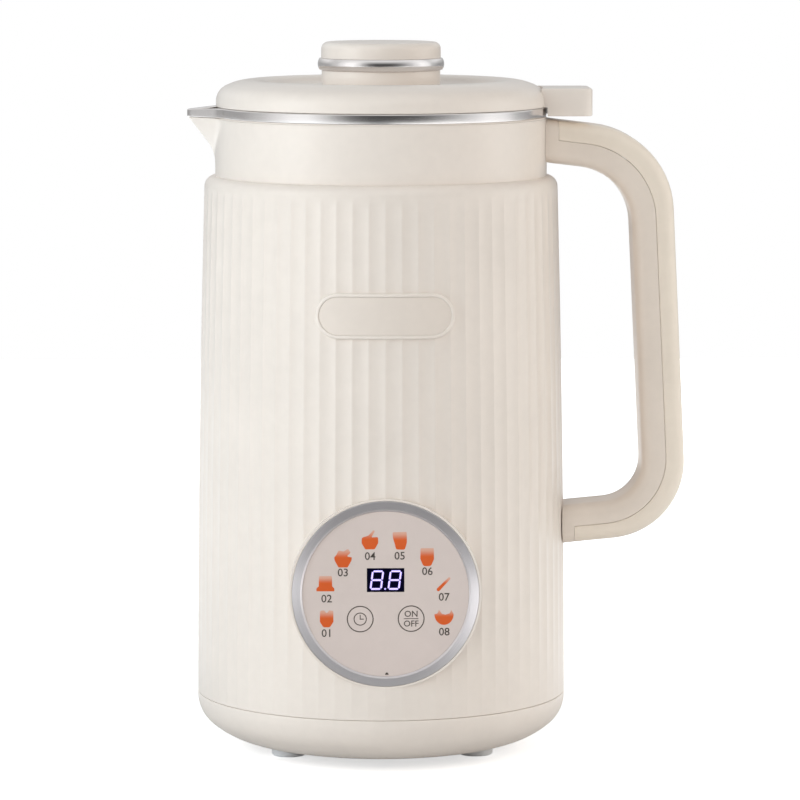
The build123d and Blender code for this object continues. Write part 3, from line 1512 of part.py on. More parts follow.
# Overflow electrode
def electrode_gasket():
    """Rubber bush that seals the electrode in the vessel wall."""
    hole_r = electrode_gasket_r - electrode_gasket_lip - press_gap
    wall_r = vessel_r + vessel_wall
    flat_x = sqrt(vessel_r ** 2 - electrode_gasket_r ** 2) - fit_gap
    solid = sideways(hole_r, flat_x - electrode_gasket_lip, wall_r + electrode_gasket_lip, 0, electrode_z)
    solid += sideways(electrode_gasket_r, flat_x - electrode_gasket_lip, flat_x, 0, electrode_z)
    solid += sideways(electrode_gasket_r, wall_r + fit_gap, wall_r + fit_gap + electrode_gasket_lip, 0,
                      electrode_z)
    return solid - sideways(electrode_r, vessel_r - electrode_reach, body_r, 0, electrode_z)


def overflow_electrode():
    """Steel pin through the vessel wall."""
    wall_r = vessel_r + vessel_wall
    return sideways(electrode_r, vessel_r - electrode_reach, wall_r + electrode_tail, 0, electrode_z)


PIECES = {
    "outer_shell": outer_shell,
    "base_bowl": base_bowl,
    "rubber_feet": rubber_feet,
    "base_screws": base_screws,
    "neck_collar": neck_collar,
    "rim_gasket": rim_gasket,
    "inner_vessel": inner_vessel,
    "heating_plate": heating_plate,
    "heating_tube": heating_tube,
    "temperature_sensors": temperature_sensors,
    "seat_sleeve": seat_sleeve,
    "seat_nut": seat_nut,
    "seat_bush": seat_bush,
    "shaft_seal": shaft_seal,
    "stator_core": stator_core,
    "stator_coils": stator_coils,
    "lower_bracket": lower_bracket,
    "upper_bracket": upper_bracket,
    "lower_bearing": lambda: bearing(lower_bearing_z()),
    "upper_bearing": lambda: bearing(upper_bearing_z()),
    "brush_holders": brush_holders,
    "motor_screws": motor_screws,
    "motor_grommets": motor_grommets,
    "motor_nuts": motor_nuts,
    "air_duct": air_duct,
    "motor_shaft": motor_shaft,
    "rotor_core": rotor_core,
    "rotor_winding": rotor_winding,
    "commutator": commutator,
    "cooling_fan": cooling_fan,
    "blade_set": blade_set,
    "blade_nut": blade_nut,
    "panel_bezel": panel_bezel,
    "panel_face": panel_face,
    "display_window": display_window,
    "display_module": display_module,
    "control_board": control_board,
    "touch_contacts": touch_contacts,
    "indicator_lamps": indicator_lamps,
    "badge_frame": badge_frame,
    "badge_plate": badge_plate,
    "handle_frame": handle_frame,
    "handle_cover": handle_cover,
    "handle_screws": handle_screws,
    "lid_switch": lid_switch,
    "lid_shell": lid_shell,
    "lid_liner": lid_liner,
    "lid_seal": lid_seal,
    "lid_magnet": lid_magnet,
    "lid_screws": lid_screws,
    "knob_base": knob_base,
    "knob_band": knob_band,
    "knob_cap": knob_cap,
    "valve_weight": valve_weight,
    "power_board": power_board,
    "inlet_socket": inlet_socket,
    "inlet_pins": inlet_pins,
    "inlet_screws": inlet_screws,
    "electrode_gasket": electrode_gasket,
    "overflow_electrode": overflow_electrode,
}

for name, make in PIECES.items():
    export_step(make(), f"parts/{name}.step")
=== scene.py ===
"""Looks of a soy milk maker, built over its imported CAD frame.

Sizes in the classes are millimetres; meshes are written in metres, in the frame's own axes: +Z up, the
panel faces -Y, the handle is at +X and the spout at -X.
"""
from __future__ import annotations

import json
import logging
import math
from dataclasses import dataclass, field, replace
from enum import Enum
from typing import Any, Callable, Sequence

import bmesh
import bpy
from mathutils import Matrix, Vector

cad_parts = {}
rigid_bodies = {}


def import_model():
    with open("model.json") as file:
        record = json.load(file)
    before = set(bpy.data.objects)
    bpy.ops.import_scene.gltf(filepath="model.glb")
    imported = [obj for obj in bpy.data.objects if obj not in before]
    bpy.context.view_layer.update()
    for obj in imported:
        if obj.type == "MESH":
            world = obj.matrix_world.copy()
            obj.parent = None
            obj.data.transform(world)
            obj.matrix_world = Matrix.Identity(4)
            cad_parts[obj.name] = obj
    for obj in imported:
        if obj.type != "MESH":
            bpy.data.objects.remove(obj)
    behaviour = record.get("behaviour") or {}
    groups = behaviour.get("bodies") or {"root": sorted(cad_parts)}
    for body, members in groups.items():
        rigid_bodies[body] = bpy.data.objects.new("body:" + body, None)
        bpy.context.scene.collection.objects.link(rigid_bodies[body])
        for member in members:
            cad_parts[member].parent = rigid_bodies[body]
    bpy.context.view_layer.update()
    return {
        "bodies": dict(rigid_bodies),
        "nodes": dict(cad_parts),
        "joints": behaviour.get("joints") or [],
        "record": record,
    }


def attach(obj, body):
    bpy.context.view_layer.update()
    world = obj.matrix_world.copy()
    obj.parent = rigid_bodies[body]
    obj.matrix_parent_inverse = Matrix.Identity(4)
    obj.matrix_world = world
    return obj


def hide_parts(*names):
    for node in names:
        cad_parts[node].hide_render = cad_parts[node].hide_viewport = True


log = logging.getLogger("soy_milk_maker")

MM = 0.001
MERGE = 0.002 * MM
Point = tuple[float, float]
Corner = tuple[float, float, float]
Colour = tuple[float, float, float]


# ---------------------------------------------------------------- meshes


def linked(name: str, data: bpy.types.ID) -> bpy.types.Object:
    """Make an object that carries the given data, and link it to the scene."""
    obj = bpy.data.objects.new(name, data)
    bpy.context.scene.collection.objects.link(obj)
    return obj


def mesh_object(name: str, verts: Sequence[Sequence[float]], faces: Sequence[Sequence[int]]) -> bpy.types.Object:
    """Make a closed mesh object from millimetre points, merged and with its faces turned outwards.

    Args:
        name: Name of the new object.
        verts: Points in millimetres.
        faces: Corner numbers of each face.

    Returns:
        The new object, linked to the scene.
    """
    mesh = bpy.data.meshes.new(name)
    mesh.from_pydata([[c * MM for c in v] for v in verts], [], faces)
    shape = bmesh.new()
    shape.from_mesh(mesh)
    bmesh.ops.remove_doubles(shape, verts=shape.verts, dist=1e-7)
    bmesh.ops.dissolve_degenerate(shape, edges=shape.edges, dist=1e-8)
    bmesh.ops.recalc_face_normals(shape, faces=shape.faces)
    shape.to_mesh(mesh)
    shape.free()
    return linked(name, mesh)


def remove(*objs: bpy.types.Object) -> None:
    """Delete helper objects that were only needed to make a piece."""
    for obj in objs:
        bpy.data.objects.remove(obj, do_unlink=True)


def quarter(steps: int) -> list[Point]:
    """Sines and cosines of a quarter turn, in even steps."""
    return [(math.sin(t), math.cos(t)) for t in (math.pi / 2 * k / steps for k in range(steps + 1))]


def circle(count: int) -> list[Point]:
    """Cosines and sines of a full turn, in even steps."""
    return [(math.cos(t), math.sin(t)) for t in (math.tau * k / count for k in range(count))]


def shift(x: float, y: float, z: float = 0) -> Matrix:
    """Move by millimetres."""
    return Matrix.Translation((x * MM, y * MM, z * MM))


def rounded(points: Sequence[Corner], steps: int = 4) -> list[Point]:
    """Round the corners of a closed outline.

    Args:
        points: Corners as x, y and corner radius.
        steps: Divisions of each rounded corner.

    Returns:
        Points along the closed outline; a corner without a radius stays one point.
    """
    line: list[Point] = []
    count = len(points)
    for k, (x, y, radius) in enumerate(points):
        if radius <= 0:
            line.append((x, y))
            continue
        corner = Vector((x, y))
        back = (Vector(points[k - 1][:2]) - corner).normalized()
        ahead = (Vector(points[(k + 1) % count][:2]) - corner).normalized()
        half = back.angle(ahead) / 2
        centre = corner + (back + ahead).normalized() * radius / math.sin(half)
        start = corner + back * radius / math.tan(half) - centre
        end = corner + ahead * radius / math.tan(half) - centre
        sweep = start.angle_signed(end)
        for j in range(steps + 1):
            turn = Matrix.Rotation(-sweep * j / steps, 2)
            spoke = turn @ start
            line.append((centre.x + spoke.x, centre.y + spoke.y))
    return line


def oval_quarter(centre: Point, width: float, height: float, side_r: float, grow: float = 0, steps: int = 10
                 ) -> list[Point]:
    """Sample a quarter oval of two tangent arcs from its side to its crown.

    Args:
        centre: Middle of the oval.
        width: Reach of the oval sideways.
        height: Reach of the oval upwards.
        side_r: Radius of the arc at the side.
        grow: Offset outwards.
        steps: Divisions of each arc.

    Returns:
        Points from the side to the crown.
    """
    crown_r = (width ** 2 + height ** 2 - 2 * width * side_r) / (2 * (height - side_r))
    side_x, crown_y = centre[0] + width - side_r, centre[1] + height - crown_r
    lean = math.atan2(centre[1] - crown_y, side_x - centre[0])
    side_r, crown_r = side_r + grow, crown_r + grow
    line = [(side_x + side_r * math.cos(lean * k / steps), centre[1] + side_r * math.sin(lean * k / steps))
            for k in range(steps)]
    for k in range(steps + 1):
        angle = lean + (math.pi / 2 - lean) * k / steps
        line.append((centre[0] + crown_r * math.cos(angle), crown_y + crown_r * math.sin(angle)))
    return line


def s_curve(start: Point, end: Point, steps: int = 8) -> list[Point]:
    """Sample two equal arcs that leave and arrive level.

    Args:
        start: First point.
        end: Last point.
        steps: Divisions of each arc.

    Returns:
        Points after the first one.
    """
    run, rise = (end[0] - start[0]) / 2, (end[1] - start[1]) / 2
    radius = (run ** 2 + rise ** 2) / (2 * abs(rise))
    sign = math.copysign(1, rise)
    line = []
    for k in range(1, 2 * steps + 1):
        share = k / steps
        near = share if share <= 1 else 2 - share
        drop = radius - math.sqrt(radius ** 2 - (near * run) ** 2)
        y = start[1] + sign * drop if share <= 1 else end[1] - sign * drop
        line.append((start[0] + share * run, y))
    return line


def full_turn(count: int, start: float = -90.0) -> list[float]:
    """Evenly spaced angles in degrees round a full turn."""
    return [start + 360 * k / count for k in range(count)]


def turned(name: str, angles: Sequence[float], outline: Callable[[float], Sequence[Point]]) -> bpy.types.Object:
    """Turn a closed outline about the Z axis; the outline may change with the angle.

    Args:
        name: Name of the new object.
        angles: Angles in degrees, round a full turn.
        outline: Gives the (radius, height) points at an angle, always equally many.

    Returns:
        The closed solid.
    """
    verts, faces = [], []
    for angle in angles:
        c, s = math.cos(math.radians(angle)), math.sin(math.radians(angle))
        verts += [(r * c, r * s, z) for r, z in outline(angle)]
    size, count = len(verts) // len(angles), len(angles)
    for a in range(count):
        for k in range(size):
            b, m = (a + 1) % count, (k + 1) % size
            faces.append((a * size + k, b * size + k, b * size + m, a * size + m))
    return mesh_object(name, verts, faces)


def lathe(name: str, line: Sequence[Point], count: int = 128) -> bpy.types.Object:
    """Turn one closed outline about the Z axis."""
    return turned(name, full_turn(count), lambda angle: line)


def swept(name: str, loops: Sequence[Sequence[Sequence[float]]], closed: bool = False) -> bpy.types.Object:
    """Skin a row of equal loops.

    Args:
        name: Name of the new object.
        loops: Closed loops of points with equal counts.
        closed: Whether the last loop joins the first; otherwise both ends are capped.

    Returns:
        The closed solid.
    """
    size, count = len(loops[0]), len(loops)
    verts = [point for loop in loops for point in loop]
    faces: list[Sequence[int]] = []
    for a in range(count if closed else count - 1):
        b = (a + 1) % count
        for k in range(size):
            m = (k + 1) % size
            faces.append((a * size + k, b * size + k, b * size + m, a * size + m))
    if not closed:
        faces.append(tuple(range(size)))
        faces.append(tuple(range((count - 1) * size, count * size)))
    return mesh_object(name, verts, faces)


def box(name: str, low: Sequence[float], high: Sequence[float]) -> bpy.types.Object:
    """Box between two corners, used to cut or to carry bevels."""
    corners = [(low[0], low[1]), (high[0], low[1]), (high[0], high[1]), (low[0], high[1])]
    return swept(name, [[(x, y, z) for x, y in corners] for z in (low[2], high[2])])


def rod(name: str, radius: float, start: Sequence[float], end: Sequence[float], count: int = 96) -> bpy.types.Object:
    """Round bar between two points."""
    axis = (Vector(end) - Vector(start)).normalized()
    side = axis.orthogonal().normalized()
    other = axis.cross(side)
    loops = []
    for middle in (Vector(start), Vector(end)):
        loops.append([middle + radius * (side * c + other * s) for c, s in circle(count)])
    return swept(name, loops)


def cut_out(name: str, shapes: Sequence[Sequence[Point]], thickness: float) -> bpy.types.Object:
    """Raise flat outlines into thin plates on the XY plane.

    Args:
        name: Name of the new object.
        shapes: Closed outlines in millimetres; holes aren't possible.
        thickness: Height of the plates.

    Returns:
        One object with all plates.
    """
    verts: list[Corner] = []
    faces: list[Sequence[int]] = []
    for line in shapes:
        low, size = len(verts), len(line)
        high = low + size
        verts += [(x, y, z) for z in (0.0, thickness) for x, y in line]
        faces += [tuple(range(low, high)), tuple(range(high, high + size))]
        faces += [(low + k, low + (k + 1) % size, high + (k + 1) % size, high + k) for k in range(size)]
    return mesh_object(name, verts, faces)


def hoop(radius: float, width: float, count: int = 96) -> list[tuple[Point, Point]]:
    """Pairs of outer and inner points round a flat ring."""
    inner = radius - width
    return [((radius * c, radius * s), (inner * c, inner * s)) for c, s in circle(count)]


def lettered(name: str, text: str, size: float, thickness: float) -> bpy.types.Object:
    """Make generic digits or letters as thin plates on the XY plane, centred on their own middle.

    Args:
        name: Name of the new object.
        text: What to write.
        size: Height of a digit in millimetres.
        thickness: Height of the plates.

    Returns:
        The letters as a mesh.
    """
    height_share, stroke_share = 0.73, 0.012
    curve = bpy.data.curves.new(name, "FONT")
    curve.body = text
    curve.size = size * MM / height_share
    curve.extrude = thickness * MM / 2
    curve.offset = size * MM * stroke_share
    curve.resolution_u = 3
    curve.align_x = "CENTER"
    carrier = linked(name, curve)
    bpy.context.view_layer.update()
    mesh = bpy.data.meshes.new_from_object(carrier.evaluated_get(bpy.context.evaluated_depsgraph_get()))
    remove(carrier)
    tops = [v.co.y for v in mesh.vertices]
    middle = (min(tops) + max(tops)) / 2
    return place(linked(name, mesh), Matrix.Translation((0, -middle, thickness * MM / 2)))


def gathered(name: str, objs: Sequence[bpy.types.Object]) -> bpy.types.Object:
    """Merge several objects' meshes into one object at the origin; the objects are deleted."""
    shape = bmesh.new()
    for obj in objs:
        shape.from_mesh(obj.data)
    mesh = bpy.data.meshes.new(name)
    shape.to_mesh(mesh)
    shape.free()
    remove(*objs)
    return linked(name, mesh)


def place(obj: bpy.types.Object, matrix: Matrix) -> bpy.types.Object:
    """Move a piece's mesh and leave its object at the origin."""
    obj.data.transform(matrix)
    obj.data.update()
    return obj


class Cut(Enum):
    """What a Boolean step does with its tool."""

    AWAY = "DIFFERENCE"
    TOGETHER = "UNION"


def boolean(obj: bpy.types.Object, tool: bpy.types.Object, cut: Cut) -> bpy.types.Object:
    """Apply one exact Boolean step and delete the tool.

    Args:
        obj: Piece that is changed.
        tool: Shape that cuts or joins it.
        cut: Kind of step.

    Returns:
        The changed piece.
    """
    modifier = obj.modifiers.new("cut", "BOOLEAN")
    modifier.operation = cut.value
    modifier.solver = "EXACT"
    modifier.object = tool
    settle(obj)
    remove(tool)
    return obj


def settle(obj: bpy.types.Object) -> bpy.types.Object:
    """Turn a piece's modifiers into plain mesh."""
    bpy.context.view_layer.update()
    graph = bpy.context.evaluated_depsgraph_get()
    mesh = bpy.data.meshes.new_from_object(obj.evaluated_get(graph))
    obj.modifiers.clear()
    obj.data = mesh
    return obj


def smooth_max(a: float, b: float, blend: float) -> float:
    """Larger of two values with a fillet where they meet."""
    lap = max(blend - abs(a - b), 0) / blend
    return max(a, b) + lap * lap * blend / 4


def between(table: Sequence[Point], x: float) -> float:
    """Read a smooth curve through a table of points.

    Args:
        table: Rising x values with their y values.
        x: Where to read the curve.

    Returns:
        The curve's value, level beyond the table's ends.
    """
    if x <= table[0][0]:
        return table[0][1]
    for k in range(len(table) - 1):
        (x0, y0), (x1, y1) = table[k], table[k + 1]
        if x <= x1:
            before = table[k - 1] if k > 0 else table[k]
            after = table[k + 2] if k + 2 < len(table) else table[k + 1]
            m0 = (y1 - before[1]) / (x1 - before[0]) * (x1 - x0)
            m1 = (after[1] - y0) / (after[0] - x0) * (x1 - x0)
            t = (x - x0) / (x1 - x0)
            return ((2 * t ** 3 - 3 * t ** 2 + 1) * y0 + (t ** 3 - 2 * t ** 2 + t) * m0
                    + (3 * t ** 2 - 2 * t ** 3) * y1 + (t ** 3 - t ** 2) * m1)
    return table[-1][1]


# ---------------------------------------------------------------- node trees


class Graph:
    """Short way to add and join the nodes of one tree."""

    def __init__(self, tree: bpy.types.NodeTree) -> None:
        """Keep the tree that the nodes go into."""
        self.tree = tree

    def add(self, kind: str, inputs: dict[str | int, Any] | None = None, **settings: Any) -> bpy.types.Node:
        """Add a node.

        Args:
            kind: Blender's name of the node's type.
            inputs: Value or socket for each named or numbered input.
            **settings: Values of the node's own properties.

        Returns:
            The new node.
        """
        node = self.tree.nodes.new(kind)
        for key, value in settings.items():
            setattr(node, key, value)
        for key, value in (inputs or {}).items():
            if isinstance(value, bpy.types.NodeSocket):
                self.tree.links.new(value, node.inputs[key])
            else:
                node.inputs[key].default_value = value
        return node

    def maths(self, operation: str, *values: Any) -> bpy.types.NodeSocket:
        """Add a Math node and return its result."""
        kind = "ShaderNodeMath"
        return self.add(kind, dict(enumerate(values)), operation=operation).outputs[0]

    def mix(self, factor: Any, low: Any, high: Any) -> bpy.types.NodeSocket:
        """Mix two colours and return the result."""
        node = self.add("ShaderNodeMix", {"Factor": factor, 6: low, 7: high}, data_type="RGBA")
        return node.outputs[2]

    def diagonal(self, a: Any, b: Any) -> bpy.types.NodeSocket:
        """Add the nodes for the length of two sides' diagonal and return it."""
        return self.maths("SQRT", self.maths("ADD", self.maths("MULTIPLY", a, a), self.maths("MULTIPLY", b, b)))

    def ramp(self, value: Any, start: Any, end: Any, low: Any = 0.0, high: Any = 1.0, soft: bool = False
             ) -> bpy.types.NodeSocket:
        """Map a value onto another span.

        Args:
            value: What is mapped.
            start: Value that gives low.
            end: Value that gives high.
            low: Result at the start and before it.
            high: Result at the end and past it.
            soft: Whether the way between them eases in and out.

        Returns:
            The mapped value.
        """
        inputs = {"Value": value, "From Min": start, "From Max": end, "To Min": low, "To Max": high}
        kind = "SMOOTHSTEP" if soft else "LINEAR"
        return self.add("ShaderNodeMapRange", inputs, interpolation_type=kind).outputs[0]

    def relief(self, strength: float, height: bpy.types.NodeSocket) -> bpy.types.NodeSocket:
        """Turn a fine height into a normal and return it."""
        return self.add("ShaderNodeBump", {"Strength": strength, "Distance": RELIEF, "Height": height}).outputs[0]

    def clamp(self, value: Any) -> bpy.types.NodeSocket:
        """Keep a value between 0 and 1 and return it."""
        return self.add("ShaderNodeClamp", {0: value}).outputs[0]

    def link(self, source: bpy.types.NodeSocket, target: bpy.types.NodeSocket) -> None:
        """Join two sockets."""
        self.tree.links.new(source, target)


def new_tree(name: str, kind: str, inputs: Sequence[tuple[str, str, Any]], outputs: Sequence[tuple[str, str]]
             ) -> tuple[Graph, bpy.types.Node, bpy.types.Node]:
    """Start a node group.

    Args:
        name: Name of the group.
        kind: Blender's name of the tree's type.
        inputs: Name, socket type and default value of each input.
        outputs: Name and socket type of each output.

    Returns:
        The graph, its input node and its output node.
    """
    tree = bpy.data.node_groups.new(name, kind)
    for label, socket, value in inputs:
        made = tree.interface.new_socket(label, in_out="INPUT", socket_type=socket)
        if value is not None:
            made.default_value = value
    for label, socket in outputs:
        tree.interface.new_socket(label, in_out="OUTPUT", socket_type=socket)
    graph = Graph(tree)
    return graph, graph.add("NodeGroupInput"), graph.add("NodeGroupOutput")


def run_tree(obj: bpy.types.Object, tree: bpy.types.NodeTree, values: dict[str, Any]) -> bpy.types.Object:
    """Run a Geometry Nodes tree on a piece and keep its result as plain mesh.

    Args:
        obj: Piece that carries the tree.
        tree: The node tree.
        values: Value of each named input.

    Returns:
        The changed piece.
    """
    modifier = obj.modifiers.new(tree.name, "NODES")
    modifier.node_group = tree
    for item in tree.interface.items_tree:
        if item.item_type == "SOCKET" and item.in_out == "INPUT" and item.name in values:
            modifier[item.identifier] = values[item.name]
    return settle(obj)


def flute_tree() -> bpy.types.NodeTree:
    """Build the tree that presses hollow flutes into a turned casing.

    Returns:
        Tree with the inputs Flutes, Depth, Run-out, Top, Low, Low run-out, Full to, Upper from, Upper share
        and Finish. The flutes keep their depth up to Full to and have Upper share of it from Upper from on.
    """
    graph, given, result = new_tree(
        "Fluted casing", "GeometryNodeTree",
        [("Geometry", "NodeSocketGeometry", None), ("Flutes", "NodeSocketInt", 70),
         ("Depth", "NodeSocketFloat", 0.0005), ("Run-out", "NodeSocketFloat", 0.006),
         ("Top", "NodeSocketFloat", 0.23), ("Low", "NodeSocketFloat", 0.02),
         ("Low run-out", "NodeSocketFloat", 0.05), ("Full to", "NodeSocketFloat", 0.09),
         ("Upper from", "NodeSocketFloat", 0.14), ("Upper share", "NodeSocketFloat", 0.75),
         ("Finish", "NodeSocketMaterial", None)],
        [("Geometry", "NodeSocketGeometry")])
    graph.tree.is_modifier = True
    x, y, z = graph.add("ShaderNodeSeparateXYZ", {0: graph.add("GeometryNodeInputPosition").outputs[0]}).outputs
    turn = graph.maths("ARCTAN2", y, x)
    flutes = graph.maths("MULTIPLY", graph.maths("ADD", turn, math.pi / 2),
                         graph.maths("DIVIDE", given.outputs["Flutes"], math.tau))
    across = graph.maths("FRACT", graph.maths("ADD", flutes, 100.0))
    bow = graph.maths("MULTIPLY", graph.maths("MULTIPLY", across, graph.maths("SUBTRACT", 1.0, across)), 4.0)
    below = graph.maths("SUBTRACT", given.outputs["Top"], z)
    fade = graph.clamp(graph.maths("DIVIDE", below, given.outputs["Run-out"]))
    eased = graph.maths("SINE", graph.maths("MULTIPLY", fade, math.pi / 2))
    above = graph.maths("SUBTRACT", z, given.outputs["Low"])
    low = graph.clamp(graph.maths("DIVIDE", above, given.outputs["Low run-out"]))
    high = graph.ramp(z, given.outputs["Full to"], given.outputs["Upper from"], 1.0, given.outputs["Upper share"])
    eased = graph.maths("MULTIPLY", eased, graph.maths("MULTIPLY", low, high))
    outside = graph.add("GeometryNodeInputNamedAttribute", {0: "outside"}, data_type="FLOAT").outputs[0]
    press = graph.maths("MULTIPLY", graph.maths("MULTIPLY", bow, eased),
                        graph.maths("MULTIPLY", given.outputs["Depth"], outside))
    flat = graph.add("ShaderNodeCombineXYZ", {0: x, 1: y}).outputs[0]
    inward = graph.add("ShaderNodeVectorMath", {0: flat}, operation="NORMALIZE").outputs[0]
    push = graph.add("ShaderNodeVectorMath", {0: inward, 3: graph.maths("MULTIPLY", press, -1.0)}, operation="SCALE")
    pressed = graph.add("GeometryNodeSetPosition", {0: given.outputs["Geometry"], "Offset": push.outputs[0]})
    real = graph.add("GeometryNodeRealizeInstances", {0: pressed.outputs[0]})
    done = graph.add("GeometryNodeSetMaterial", {0: real.outputs[0], "Material": given.outputs["Finish"]})
    graph.link(done.outputs[0], result.inputs[0])
    return graph.tree


def ring_tree() -> bpy.types.NodeTree:
    """Build the tree that copies a piece evenly round the Z axis.

    Returns:
        Tree with the inputs Piece, Count, Start and Finish; the carrier's own mesh is dropped.
    """
    graph, given, result = new_tree(
        "Ring of copies", "GeometryNodeTree",
        [("Geometry", "NodeSocketGeometry", None), ("Piece", "NodeSocketObject", None),
         ("Count", "NodeSocketInt", 3), ("Start", "NodeSocketFloat", 0.0), ("Finish", "NodeSocketMaterial", None)],
        [("Geometry", "NodeSocketGeometry")])
    graph.tree.is_modifier = True
    points = graph.add("GeometryNodePoints", {"Count": given.outputs["Count"]})
    index = graph.add("GeometryNodeInputIndex").outputs[0]
    step = graph.maths("DIVIDE", math.tau, given.outputs["Count"])
    angle = graph.maths("ADD", graph.maths("MULTIPLY", index, step), given.outputs["Start"])
    turn = graph.add("ShaderNodeCombineXYZ", {2: angle}).outputs[0]
    piece = graph.add("GeometryNodeObjectInfo", {"Object": given.outputs["Piece"]})
    copies = graph.add("GeometryNodeInstanceOnPoints", {0: points.outputs[0], "Instance": piece.outputs["Geometry"],
                                                        "Rotation": turn})
    real = graph.add("GeometryNodeRealizeInstances", {0: copies.outputs[0]})
    done = graph.add("GeometryNodeSetMaterial", {0: real.outputs[0], "Material": given.outputs["Finish"]})
    graph.link(done.outputs[0], result.inputs[0])
    return graph.tree


class Trees:
    """The Geometry Nodes trees, each built once."""

    def __init__(self) -> None:
        """Build the trees."""
        self.flutes = flute_tree()
        self.ring = ring_tree()

    def around(self, name: str, piece: bpy.types.Object, count: int, start: float, finish: bpy.types.Material | None
               ) -> bpy.types.Object:
        """Copy a piece round the Z axis.

        Args:
            name: Name of the new object.
            piece: Piece to copy, which is deleted.
            count: Number of copies.
            start: Angle of the first copy in degrees.
            finish: Material of the copies.

        Returns:
            One mesh with all copies.
        """
        carrier = linked(name, bpy.data.meshes.new(name))
        values = {"Piece": piece, "Count": count, "Start": math.radians(start), "Finish": finish}
        run_tree(carrier, self.ring, values)
        remove(piece)
        return carrier


# ---------------------------------------------------------------- finishes


def linear(colour: Sequence[float]) -> tuple[float, float, float, float]:
    """Turn a 0-255 screen colour into the linear values that sockets take."""
    parts = [c / 255 for c in colour]
    values = [c / 12.92 if c <= 0.04045 else ((c + 0.055) / 1.055) ** 2.4 for c in parts]
    return (values[0], values[1], values[2], 1.0)


DUST: Colour = (214, 208, 198)
RELIEF = 0.00002


def new_material(name: str) -> tuple[bpy.types.Material, Graph, bpy.types.Node]:
    """Start a material.

    Args:
        name: Name of the material.

    Returns:
        The material, the graph of its nodes and its main shader.
    """
    material = bpy.data.materials.new(name)
    material.use_nodes = True
    return material, Graph(material.node_tree), material.node_tree.nodes["Principled BSDF"]


def grain_group() -> bpy.types.NodeTree:
    """Build the fine skin of moulded pieces: a height, a tone and a roughness."""
    graph, given, result = new_tree(
        "Moulded skin", "ShaderNodeTree",
        [("Vector", "NodeSocketVector", None), ("Fineness", "NodeSocketFloat", 2600.0),
         ("Roughness", "NodeSocketFloat", 0.4), ("Spread", "NodeSocketFloat", 0.06)],
        [("Height", "NodeSocketFloat"), ("Tone", "NodeSocketFloat"), ("Roughness", "NodeSocketFloat")])
    where = given.outputs["Vector"]
    fine = graph.add("ShaderNodeTexNoise", {"Vector": where, "Scale": given.outputs["Fineness"], "Detail": 2.0})
    cloud = graph.add("ShaderNodeTexNoise", {"Vector": where, "Scale": 28.0, "Detail": 4.0, "Roughness": 0.6})
    mottle = graph.add("ShaderNodeTexNoise", {"Vector": where, "Scale": 260.0, "Detail": 3.0})
    cloud_share = 0.7
    tone = graph.maths("ADD", graph.maths("MULTIPLY", cloud.outputs[0], cloud_share),
                       graph.maths("MULTIPLY", mottle.outputs[0], 1 - cloud_share))
    swing = graph.maths("MULTIPLY", graph.maths("SUBTRACT", tone, 0.5), given.outputs["Spread"])
    graph.link(fine.outputs[0], result.inputs["Height"])
    graph.link(tone, result.inputs["Tone"])
    graph.link(graph.maths("ADD", given.outputs["Roughness"], swing), result.inputs["Roughness"])
    return graph.tree


def wear_group() -> bpy.types.NodeTree:
    """Build the faint dust of use, thicker on faces that look up."""
    graph, given, result = new_tree(
        "Dust of use", "ShaderNodeTree",
        [("Vector", "NodeSocketVector", None), ("Colour", "NodeSocketColor", None),
         ("Dust", "NodeSocketColor", None), ("Amount", "NodeSocketFloat", 0.1)],
        [("Colour", "NodeSocketColor")])
    up = graph.add("ShaderNodeSeparateXYZ", {0: graph.add("ShaderNodeNewGeometry").outputs["Normal"]}).outputs[2]
    level_share = 0.6
    level = graph.maths("MULTIPLY", graph.maths("MAXIMUM", up, 0.0), level_share)
    patch = graph.add("ShaderNodeTexNoise", {"Vector": given.outputs["Vector"], "Scale": 60.0, "Detail": 5.0})
    speck = graph.ramp(patch.outputs[0], 0.45, 0.75)
    mask = graph.maths("MULTIPLY", graph.maths("ADD", level, 1 - level_share),
                       graph.maths("MULTIPLY", speck, given.outputs["Amount"]))
    graph.link(graph.mix(mask, given.outputs["Colour"], given.outputs["Dust"]), result.inputs["Colour"])
    return graph.tree


def brushed_group() -> bpy.types.NodeTree:
    """Build fine lines along one direction of a given space: a height, a roughness and a tone."""
    graph, given, result = new_tree(
        "Brushed lines", "ShaderNodeTree",
        [("Vector", "NodeSocketVector", None), ("Fineness", "NodeSocketFloat", 6000.0),
         ("Roughness", "NodeSocketFloat", 0.25), ("Spread", "NodeSocketFloat", 0.12)],
        [("Height", "NodeSocketFloat"), ("Roughness", "NodeSocketFloat"), ("Tone", "NodeSocketFloat")])
    lines = graph.add("ShaderNodeTexNoise", {"Vector": given.outputs["Vector"], "Scale": given.outputs["Fineness"],
                                             "Detail": 3.0, "Roughness": 0.65})
    swing = graph.maths("MULTIPLY", graph.maths("SUBTRACT", lines.outputs[0], 0.5), given.outputs["Spread"])
    graph.link(lines.outputs[0], result.inputs["Height"])
    graph.link(lines.outputs[0], result.inputs["Tone"])
    graph.link(graph.maths("ADD", given.outputs["Roughness"], swing), result.inputs["Roughness"])
    return graph.tree


class Groups:
    """The shader groups, each built once."""

    def __init__(self) -> None:
        """Build the groups."""
        self.grain = grain_group()
        self.wear = wear_group()
        self.brushed = brushed_group()

    def skin(self, graph: Graph, roughness: float) -> bpy.types.Node:
        """Lay the moulded skin over a material's piece.

        Args:
            graph: The material's graph.
            roughness: Middle roughness of the skin.

        Returns:
            The group's node.
        """
        where = graph.add("ShaderNodeTexCoord").outputs["Object"]
        return graph.add("ShaderNodeGroup", {"Vector": where, "Roughness": roughness}, node_tree=self.grain)


class Lines(Enum):
    """Direction of a metal's brushed lines."""

    ROUND_UPRIGHT = "round the Z axis"
    ROUND_FACING = "round the panel's axis"
    UPWARD = "along Z"


